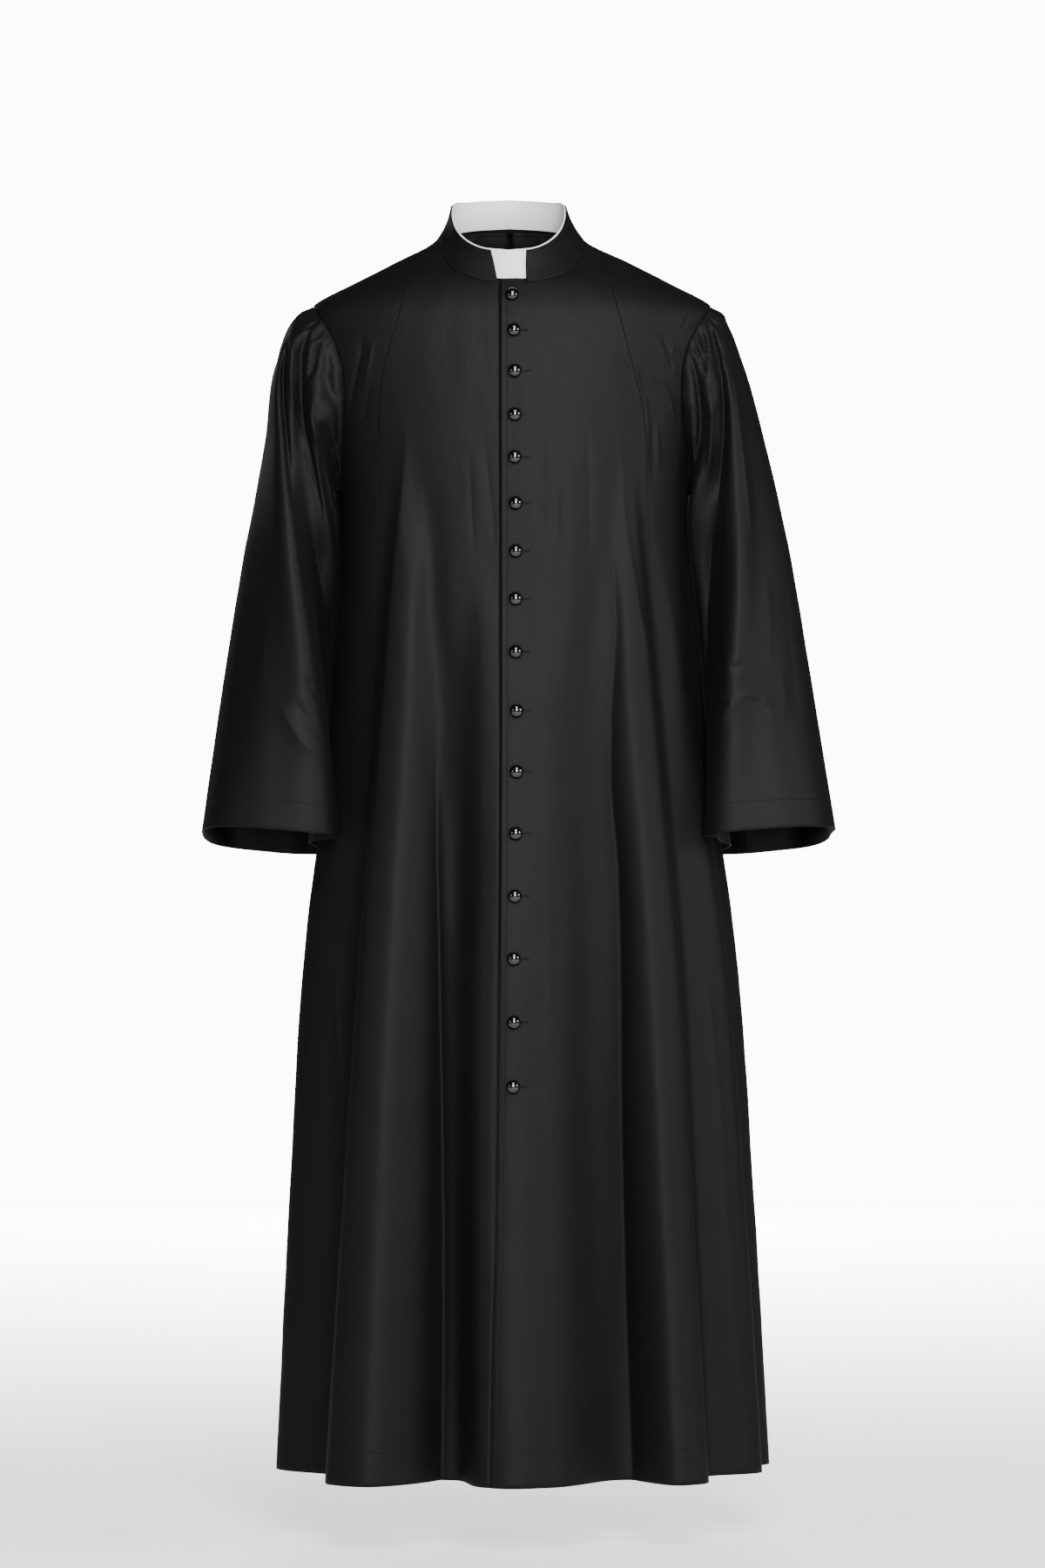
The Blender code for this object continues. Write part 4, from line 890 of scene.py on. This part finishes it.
# What an edge turns into, as steps (in under the cloth, back from the edge) in metres.
SEWN = ((0.0008, 0.0000), (0.0013, -0.0006), (0.0020, 0.0050))
FOLDED = ((0.0005, -0.0004), (0.0012, -0.0004), (0.0017, 0.0004), (0.0024, 0.0100))
HEMMED = ((0.0004, -0.0003), (0.0010, -0.0004), (0.0015, 0.0002), (0.0016, 0.0360))


def turned(points, normals, axis, end, steps):
    """The grid and its normals, with the edge at this `end` (0, -1) turned in under the cloth."""
    edge = np.take(points, end, axis=axis)
    inner = np.take(points, 3 if end == 0 else -4, axis=axis)
    normal = np.take(normals, end, axis=axis)
    back = inner - edge
    back = unit(back - normal * (back * normal).sum(axis=-1, keepdims=True))
    added = np.stack([edge - normal * under + back * inset for under, inset in steps], axis=axis)
    kept = np.stack([normal] * len(steps), axis=axis)
    if end == 0:
        pairs = ((np.flip(added, axis), points), (kept, normals))
    else:
        pairs = ((points, added), (normals, kept))
    return [np.concatenate(pair, axis=axis) for pair in pairs]


def lengths(points):
    """Distances across and up the cloth in metres, from its left edge and its hem."""
    across = np.linalg.norm(np.diff(points, axis=1), axis=-1)
    down = np.linalg.norm(np.diff(points, axis=0), axis=-1)
    u = np.concatenate([np.zeros((points.shape[0], 1)), np.cumsum(across, axis=1)], axis=1)
    v = np.concatenate([np.zeros((1, points.shape[1])), np.cumsum(down, axis=0)])
    return np.stack([u, v[-1:] - v], axis=-1)


SEAM_SINK = (0.00065, 0.00030, 0.00010)     # how far the cloth sinks towards a seam
PRESSED_Z = -0.36           # the seam of a side front is pressed flat below this height ...
PRESSED_RISE = 0.14         # ... and as open as the others this much higher
PRESSED_GROOVE = 0.12       # what is left of its groove


def add_cloth(name, points, normals, finish, edges=((), ()), round_shut=False):
    """The cloth of a piece, sewn in along its top edge and turned up at its hem."""
    for row, deep in enumerate(SEAM_SINK):
        points[row] -= normals[row] * deep
    if round_shut:
        points[:, -1] = points[:, 0]
    uv = lengths(points)
    for axis, end, steps in ((0, 0, SEWN), (0, -1, HEMMED), (1, 0, edges[0]), (1, -1, edges[1])):
        if steps:
            points, normals = turned(points, normals, axis, end, steps)
    pad = ((len(SEWN), len(HEMMED)), (len(edges[0]), len(edges[1])), (0, 0))
    uv = np.pad(uv, pad, mode="edge")
    faces = grid_faces(*points.shape[:2])
    a, b, c = (points.reshape(-1, 3)[faces[len(faces) // 2, k]] for k in range(3))
    outward = normals.reshape(-1, 3)[faces[len(faces) // 2, 0]]
    if np.cross(b - a, c - b) @ outward < 0:
        faces = faces[:, ::-1]
    add_piece(name + "_cloth", points.reshape(-1, 3), faces, finish, uv.reshape(-1, 2),
              replaces=[name])


def panel(name, places, edges, finish, sink=None, pressed=None):
    """A cloth panel.  `edges` says how its left and right edges are finished.

    The seam at the `pressed` edge (0 left, 1 right) dies away down the skirt.
    """
    azimuth, z = places
    points, normals = body_cloth(azimuth, z)
    if sink is not None:
        points = points - normals * sink(points)[..., None]
    for side, (end, inner, neighbours) in enumerate(((0, 3, (0, 1, 2)), (-1, -4, (-1, -2, -3)))):
        if edges[side] is SEWN:
            inward = unit(points[:, inner] - points[:, end])
            open_to = np.ones(len(points))
            if side == pressed:
                above = (points[:, end, 2] - PRESSED_Z) / PRESSED_RISE
                open_to = PRESSED_GROOVE + (1 - PRESSED_GROOVE) * ease(above)
            open_to = open_to[:, None]
            points[:, end] += inward * SEAM / 2 * open_to
            for column, deep in zip(neighbours, SEAM_SINK):
                points[:, column] -= normals[:, column] * deep * open_to
    add_cloth(name, points, normals, finish, edges)


def sunk_under_overlap(points):
    """The right front steps in under the left one that lies over it."""
    edge = smooth(OVERLAP_EDGE["z"], OVERLAP_EDGE["x"], points[..., 2])
    return UNDERLAP_DROP * ease((points[..., 0] - edge - UNDERLAP_STEP_X) / UNDERLAP_STEP)


def centre_back_azimuth(side, z):
    return np.full_like(z, side * 180.0)


# Faces along the edges of the panels, and down them above and below the underarm.
NOTCH_COLUMNS = 26
NECK_FRONT_COLUMNS = 92
NECK_BACK_COLUMNS = 84
SHOULDER_FRONT_COLUMNS = 28
SHOULDER_SIDE_COLUMNS = 104
SHOULDER_BACK_COLUMNS = 112
PANEL_ROWS = (120, 190)
SLEEVE_COLUMNS = 352
SLEEVE_ROWS = 180


def add_fronts(left_finish, finish):
    for side_name, side in SIDES.items():
        seam_top = abs(SHAPED_SEAM[side_name][0])
        placket = partial(overlap_azimuth, beyond=0.0 if side > 0 else UNDERLAP)
        shaped_seam = partial(shaped_seam_azimuth, side)
        stops = (float(placket(NECKLINE["z"][:1])[0]), side * NOTCH_AZIMUTH, side * 90.0)
        neck = neck_edge(stops, (NOTCH_COLUMNS, NECK_FRONT_COLUMNS))
        shoulder = shoulder_edge(side, NECK_SIDE_X, seam_top, SHOULDER_FRONT_COLUMNS)
        places = panel_places(np.concatenate([neck, shoulder[:, 1:]], axis=1), placket,
                              shaped_seam, even_drop, round_drop, by_width=True)
        panel("front_" + side_name, places, (FOLDED, SEWN), left_finish if side > 0 else finish,
              sink=sunk_under_overlap if side < 0 else None, pressed=1)
        shoulder = shoulder_edge(side, seam_top, SHOULDER_TIP_X, SHOULDER_SIDE_COLUMNS)
        places = panel_places(shoulder, shaped_seam, partial(armhole_azimuth, side, +1),
                              round_drop, round_drop)
        panel("side_front_" + side_name, places, (SEWN, SEWN), finish, pressed=0)


def add_backs(finish):
    for side_name, side in SIDES.items():
        neck = neck_edge((side * 180.0, side * 90.0), (NECK_BACK_COLUMNS,))
        shoulder = shoulder_edge(side, NECK_SIDE_X, SHOULDER_TIP_X, SHOULDER_BACK_COLUMNS)
        places = panel_places(np.concatenate([neck, shoulder[:, 1:]], axis=1),
                              partial(centre_back_azimuth, side),
                              partial(armhole_azimuth, side, -1), steep_drop, round_drop)
        panel("back_" + side_name, places, (SEWN, SEWN), finish)


SLEEVE_LENGTH = 0.65
SLEEVE_METRES_A_DEGREE = 0.0015     # round the sleeve


def add_sleeves(finish):
    angle = np.linspace(0, 360, SLEEVE_COLUMNS + 1)[None, :]
    share = crowded(SLEEVE_ROWS, last=False)[:, None]
    level = ease(share / SEAM_SHARE)
    waves = ripple(angle * SLEEVE_METRES_A_DEGREE, share * SLEEVE_LENGTH, SLEEVE_SWELL_SIZE, 3.0)
    relief = SLEEVE_SWELL * np.cos(np.radians(angle)) * waves
    facing = np.broadcast_to(np.sin(np.radians(angle)), relief.shape)
    for side_name in SIDES:
        points = sleeve_point(side_name, angle, share)
        normals = sleeve_normal(side_name, *np.broadcast_arrays(angle, share))
        moved = points + normals * (relief * level)[..., None]
        moved[..., 1] -= level * crease_relief(points, facing, SLEEVE_FRONT_CREASES[side_name])
        moved[..., 1] += level * crease_relief(points, -facing, SLEEVE_BACK_CREASES[side_name])
        add_cloth("sleeve_" + side_name, moved, normals, finish, round_shut=True)


# ---- collar and band

COLLAR_FOOT = 0.02          # share of the collar's height at which its cloth starts
COLLAR_EDGE = 0.985         # and ends
COLLAR_THICKNESS = 0.0016
COLLAR_FRONT_COLUMNS = 60
COLLAR_BACK_COLUMNS = 50
NOTCH_BAND_COLUMNS = 22
BAND_ROWS = 28              # points up each side of the collar and of the white band
BAND_ROUNDING = (60, 30, 0, -30, -60)       # and over their edges, in degrees


def band(name, azimuth, bearing, low, high, thickness, inset, finish, node, closed):
    """A stiff band on the collar's surface with rounded edges."""
    step, rise = 0.4, 0.02
    outer, inner = [], []
    for level in np.linspace(low, high, BAND_ROWS):
        at = np.full(len(azimuth), level)
        point = collar_point(azimuth, bearing, at)
        around = (collar_point(azimuth + step, bearing + step, at)
                  - collar_point(azimuth - step, bearing - step, at))
        up = collar_point(azimuth, bearing, at + rise) - collar_point(azimuth, bearing, at - rise)
        normal = unit(np.cross(around, up))
        outer.append(point - normal * inset)
        inner.append(point - normal * (inset + thickness))
    outer, inner = np.array(outer), np.array(inner)
    middle = (outer + inner) / 2
    up = unit(outer[-1] - outer[-2])

    def edge(row, direction):
        return [middle[row] + (outer[row] - middle[row]) * math.sin(math.radians(turn))
                + direction * (thickness * 0.5) * math.cos(math.radians(turn))
                for turn in BAND_ROUNDING]

    points = np.array([*outer, *edge(-1, up), *inner[::-1], *edge(0, -up)[::-1]])
    rows, columns = points.shape[:2]
    faces = loop_faces(rows, columns, closed).tolist()
    if not closed:
        first = [row * columns for row in range(rows)]
        faces += [first, [corner + columns - 1 for corner in first[::-1]]]
    around = np.concatenate([[0], np.cumsum(np.linalg.norm(np.diff(points[0], axis=0), axis=-1))])
    height = np.linspace(0, 1, rows) * 2 * COLLAR_HEIGHT
    uv = np.stack(np.broadcast_arrays(around[None, :], height[:, None]), axis=-1)
    add_piece(name, points.reshape(-1, 3), faces, finish, uv.reshape(-1, 2), [node])


def collar_columns(count_front, count_back):
    half = neck_edge((NOTCH_AZIMUTH, 90.0, 180.0), (count_front, count_back))[0]
    bearing = neck_bearing(half)
    bearing[-1] = 180.0
    widened = NOTCH_BEARING_TOP - bearing[0]
    bearing = bearing + widened * (180 - bearing) / (180 - bearing[0])
    return np.concatenate([half, -half[-2::-1]]), np.concatenate([bearing, -bearing[-2::-1]])


def add_collar(cloth, white):
    azimuth, bearing = collar_columns(COLLAR_FRONT_COLUMNS, COLLAR_BACK_COLUMNS)
    band("collar_cloth", azimuth, bearing, COLLAR_FOOT, COLLAR_EDGE, COLLAR_THICKNESS, 0.0, cloth,
         "collar", False)
    inside = np.linspace(-1, 1, NOTCH_BAND_COLUMNS)[1:-1]
    band("collar_insert_band", np.concatenate([azimuth, inside * NOTCH_AZIMUTH]),
         np.concatenate([bearing, inside * NOTCH_BEARING_TOP]), INSERT_FOOT, 1 + INSERT_STAND,
         INSERT_THICKNESS, CLOTH + INSERT_GAP, white, "collar_insert", True)


# ---- buttons

def button_places():
    """Number, x and z of each button."""
    for number, (z, x) in enumerate(zip(BUTTONS["z"], BUTTONS["x"]), start=1):
        yield number, x, z


def add_buttons(gloss):
    """Domed buttons with a narrow rim, each turned from one profile."""
    profile = [(0.0, 1.0)]
    profile += [(math.sin(math.radians(a)) * 0.98, 0.18 + 0.82 * math.cos(math.radians(a)))
                for a in range(6, 91, 7)]
    profile += [(1.0, 0.14), (1.0, 0.08), (0.93, 0.02), (0.6, 0.0), (0.0, 0.0)]
    steps = 40
    turns = [2 * math.pi * k / steps for k in range(steps)]
    for number, x, z in button_places():
        place = np.array([z])
        azimuth = placket_azimuth(np.array([x]), place)
        seat = Vector(body_point(azimuth, place)[0])
        normal = Vector(body_normal(azimuth, place)[0])
        stand = (Matrix.Translation(seat + normal * 2 * SEAM)
                 @ normal.to_track_quat("Z", "Y").to_matrix().to_4x4())
        points, rings = [], []
        for radius, height in profile:
            around = turns if radius else [0.0]
            rings.append([len(points) + k % len(around) for k in range(steps)])
            points += [stand @ Vector((radius * BUTTON_RADIUS * math.cos(turn),
                                       radius * BUTTON_RADIUS * math.sin(turn),
                                       height * BUTTON_DEPTH)) for turn in around]
        faces = []
        for upper, lower in zip(rings, rings[1:]):
            for k, m in enumerate([*range(1, steps), 0]):
                faces.append(list(dict.fromkeys((upper[k], lower[k], lower[m], upper[m]))))
        add_piece(f"button_{number:02d}_dome", points, faces, gloss,
                  replaces=[f"button_{number:02d}"])


THREAD = 0.00042            # radius of the roll of thread round a buttonhole
BUTTONHOLE_X = 0.0085       # its middle, to the side of the button's
BUTTONHOLE_HALF_LENGTH = 0.0088
BUTTONHOLE_HALF_WIDTH = 0.0007
BUTTONHOLE_TILT = 0.0004


def add_buttonholes(thread):
    """A worked buttonhole from each button towards the side: a narrow loop of thread."""
    around, rim = 44, 8
    turn = np.radians(np.arange(around) * 360 / around)
    outward = np.stack([np.cos(turn), np.zeros(around), np.sin(turn)], axis=-1)
    # the loop's two long sides lie close together, its ends are round
    reach = np.clip(np.cos(turn) * 1.5, -1, 1) * BUTTONHOLE_HALF_LENGTH
    rise = np.clip(np.sin(turn) * 2.4, -1, 1) * BUTTONHOLE_HALF_WIDTH
    for number, x, z in button_places():
        tilt = BUTTONHOLE_TILT * math.sin(number * 2.3)
        loop_x = x + BUTTONHOLE_X + reach
        loop_z = z + rise + tilt * np.cos(turn)
        azimuth = placket_azimuth(loop_x, loop_z)
        seat, normal = body_point(azimuth, loop_z), body_normal(azimuth, loop_z)
        swings = [2 * math.pi * k / rim for k in range(rim)]
        points = np.concatenate([seat + normal * (SEAM + THREAD * math.cos(swing))
                                 + outward * THREAD * math.sin(swing) for swing in swings])
        add_piece(f"buttonhole_{number:02d}", points, loop_faces(rim, around), thread,
                  points[:, [0, 2]])


# ---- materials

class Nodes:
    """Short spelling for a material's nodes and links."""

    def __init__(self, name):
        self.material = bpy.data.materials.new(name)
        self.material.use_nodes = True
        self.tree = self.material.node_tree
        self.shader = self.tree.nodes["Principled BSDF"]

    def add(self, kind, settings=None, **inputs):
        node = self.tree.nodes.new(kind)
        for key, value in (settings or {}).items():
            setattr(node, key, value)
        for key, value in inputs.items():
            self.give(node.inputs[key.replace("_", " ")], value)
        return node

    def give(self, socket, value):
        if isinstance(value, bpy.types.NodeSocket):
            self.tree.links.new(value, socket)
        else:
            socket.default_value = value

    def maths(self, operation, *values):
        node = self.add("ShaderNodeMath", {"operation": operation})
        for socket, value in zip(node.inputs, values):
            self.give(socket, value)
        return node.outputs[0]

    def noise(self, place, scale, detail):
        return self.add("ShaderNodeTexNoise", Vector=place, Scale=scale,
                        Detail=detail).outputs["Fac"]

    def mix(self, share, first, second):
        return self.add("ShaderNodeMix", {"data_type": "RGBA"}, Factor=share, A=first,
                        B=second).outputs["Result"]

    def bump(self, height, strength, distance):
        return self.add("ShaderNodeBump", Height=height, Strength=strength,
                        Distance=distance).outputs["Normal"]

    def shade(self, **inputs):
        for key, value in inputs.items():
            self.give(self.shader.inputs[key.replace("_", " ")], value)


def grey(value):
    return (value, value, value * 1.03, 1)


STITCH_WIDTH = 0.0011
STITCH_SINK = 9.0           # as deep as this many weaves
HEM_STITCHES = 0.038        # above the hem
CUFF_STITCHES = 0.033       # above a cuff's edge
EDGE_STITCHES = 0.0060      # beside the edge of the left front


def stitched(n, distance, at):
    """1 on a line of stitches this far from an edge, 0 beside it."""
    away = n.maths("ABSOLUTE", n.maths("SUBTRACT", distance, at))
    return n.add("ShaderNodeMapRange", {"interpolation_type": "SMOOTHSTEP"}, Value=away,
                 From_Min=0.0, From_Max=STITCH_WIDTH, To_Min=1.0, To_Max=0.0).outputs["Result"]


def black_cloth(name, hem=None, edge=None):
    """Fine black twill, stitched `hem` metres above its hem and `edge` from its left edge."""
    n = Nodes(name)
    metres = n.add("ShaderNodeUVMap", {"uv_map": "metres"}).outputs["UV"]
    place = n.add("ShaderNodeTexCoord").outputs["Object"]
    twill = n.add("ShaderNodeTexWave", {"wave_type": "BANDS", "bands_direction": "DIAGONAL"},
                  Vector=metres, Scale=420.0, Distortion=0.6).outputs["Fac"]
    slub, cloud = n.noise(place, 900.0, 2.0), n.noise(place, 9.0, 3.0)
    height = n.maths("ADD", n.maths("MULTIPLY", twill, 0.6), n.maths("MULTIPLY", slub, 0.8))
    across = n.add("ShaderNodeSeparateXYZ", Vector=metres)
    for distance, at in ((across.outputs["Y"], hem), (across.outputs["X"], edge)):
        if at is not None:
            sunk = n.maths("MULTIPLY", stitched(n, distance, at), STITCH_SINK)
            height = n.maths("SUBTRACT", height, sunk)
    n.shade(Base_Color=n.mix(cloud, grey(0.0040), grey(0.0050)),
            Roughness=n.maths("ADD", n.maths("MULTIPLY", cloud, 0.06), 0.54),
            Normal=n.bump(height, 0.35, 0.00012), Specular_IOR_Level=0.13, Sheen_Weight=0.004,
            Sheen_Roughness=0.40, Sheen_Tint=(0.9, 0.92, 1.0, 1))
    return n.material


def white_band():
    n = Nodes("white band")
    place = n.add("ShaderNodeTexCoord").outputs["Object"]
    grain, cloud = n.noise(place, 1200.0, 2.0), n.noise(place, 30.0, 2.0)
    n.shade(Base_Color=n.mix(cloud, (0.84, 0.84, 0.85, 1), (0.90, 0.90, 0.90, 1)),
            Roughness=0.42, Normal=n.bump(grain, 0.15, 0.00008), Specular_IOR_Level=0.4)
    return n.material


def black_gloss():
    n = Nodes("black gloss")
    wear = n.noise(n.add("ShaderNodeTexCoord").outputs["Object"], 260.0, 3.0)
    n.shade(Base_Color=n.mix(wear, grey(0.0010), grey(0.0020)),
            Roughness=n.maths("ADD", n.maths("MULTIPLY", wear, 0.04), 0.03),
            Normal=n.bump(wear, 0.05, 0.0002), Specular_IOR_Level=1.0)
    return n.material


# ---- studio

CAMERA_PLACE = (0.0126, -7.0, -0.5953)
FOCAL_LENGTH = 133.33
SENSOR_WIDTH = 36.0
SHIFT_Y = -50 / 1800
FLOOR_Z = -1.544
FLOOR_RADIUS = 60.0
MIDDLE = (0, 0, -0.6)
LIGHTS = (  # name, place, what it points at, size and power
    ("key", (0.6, -5.6, 1.0), MIDDLE, 2.2, 360),
    ("side", (4.8, -2.6, 0.9), MIDDLE, 1.5, 150),
    ("fill", (-4.2, -3.4, 0.4), MIDDLE, 1.6, 26),
    ("top", (0.5, -3.2, 3.0), (0, 0, -0.3), 2.0, 140),
    ("back", (0.0, 4.8, -0.4), MIDDLE, 1.2, 150),
    ("back left", (-2.4, 4.0, 1.0), MIDDLE, 1.2, 12),
)
GLARE = 12.0                # the white surroundings as the camera sees them
AMBIENT = 0.03              # and as they light the robe
WHITE = (1, 1, 1, 1)


def add_camera():
    camera = bpy.data.cameras.new("camera")
    camera.lens = FOCAL_LENGTH
    camera.sensor_width = SENSOR_WIDTH
    camera.shift_y = SHIFT_Y
    camera.clip_end = 200.0
    bpy.context.scene.camera = add_object("camera", camera, CAMERA_PLACE)
    bpy.context.scene.camera.rotation_euler = (math.radians(90), 0, 0)


def add_lights():
    for name, place, target, size, power in LIGHTS:
        light = bpy.data.lights.new(name, "AREA")
        light.shape = "RECTANGLE"
        light.size = light.size_y = size
        light.energy = power
        facing = (Vector(target) - Vector(place)).to_track_quat("-Z", "Y")
        add_object(name, light, place).rotation_euler = facing.to_euler()


def add_world():
    world = bpy.data.worlds.new("studio")
    world.use_nodes = True
    bpy.context.scene.world = world
    tree = world.node_tree
    seen, lit = tree.nodes["Background"], tree.nodes.new("ShaderNodeBackground")
    for background, strength in ((seen, GLARE), (lit, AMBIENT)):
        background.inputs["Color"].default_value = WHITE
        background.inputs["Strength"].default_value = strength
    ray = tree.nodes.new("ShaderNodeLightPath")
    either = tree.nodes.new("ShaderNodeMixShader")
    tree.links.new(ray.outputs["Is Camera Ray"], either.inputs["Fac"])
    tree.links.new(lit.outputs["Background"], either.inputs[1])
    tree.links.new(seen.outputs["Background"], either.inputs[2])
    tree.links.new(either.outputs["Shader"], tree.nodes["World Output"].inputs["Surface"])


def add_floor():
    """A wide disc that fades into the white surroundings."""
    steps = 96
    turns = [2 * math.pi * k / steps for k in range(steps)]
    points = [(0, 0, FLOOR_Z)]
    points += [(FLOOR_RADIUS * math.cos(turn), FLOOR_RADIUS * math.sin(turn), FLOOR_Z)
               for turn in turns]
    mesh = bpy.data.meshes.new("floor")
    mesh.from_pydata(points, [], [(0, 1 + k, 1 + (k + 1) % steps) for k in range(steps)])
    n = Nodes("floor")
    far = n.add("ShaderNodeVectorMath", {"operation": "LENGTH"})
    n.give(far.inputs[0], n.add("ShaderNodeTexCoord").outputs["Object"])
    blend = n.add("ShaderNodeMapRange", {"interpolation_type": "SMOOTHSTEP"},
                  Value=far.outputs["Value"], From_Min=0.7, From_Max=6.0).outputs["Result"]
    seen = n.add("ShaderNodeLightPath").outputs["Is Camera Ray"]
    glow = n.maths("MULTIPLY", n.maths("MULTIPLY", blend, seen), GLARE)
    n.shade(Base_Color=(0.88, 0.88, 0.88, 1), Roughness=0.7, Emission_Color=WHITE,
            Emission_Strength=glow)
    mesh.materials.append(n.material)
    add_object("floor", mesh)


def main():
    skirt = black_cloth("black cloth", HEM_STITCHES)
    add_fronts(black_cloth("black cloth overlap", HEM_STITCHES, EDGE_STITCHES), skirt)
    add_backs(skirt)
    add_sleeves(black_cloth("black cloth sleeve", CUFF_STITCHES))
    add_collar(black_cloth("black cloth collar"), white_band())
    add_buttons(black_gloss())
    add_buttonholes(black_cloth("black thread"))
    add_camera()
    add_lights()
    add_world()
    add_floor()


main()
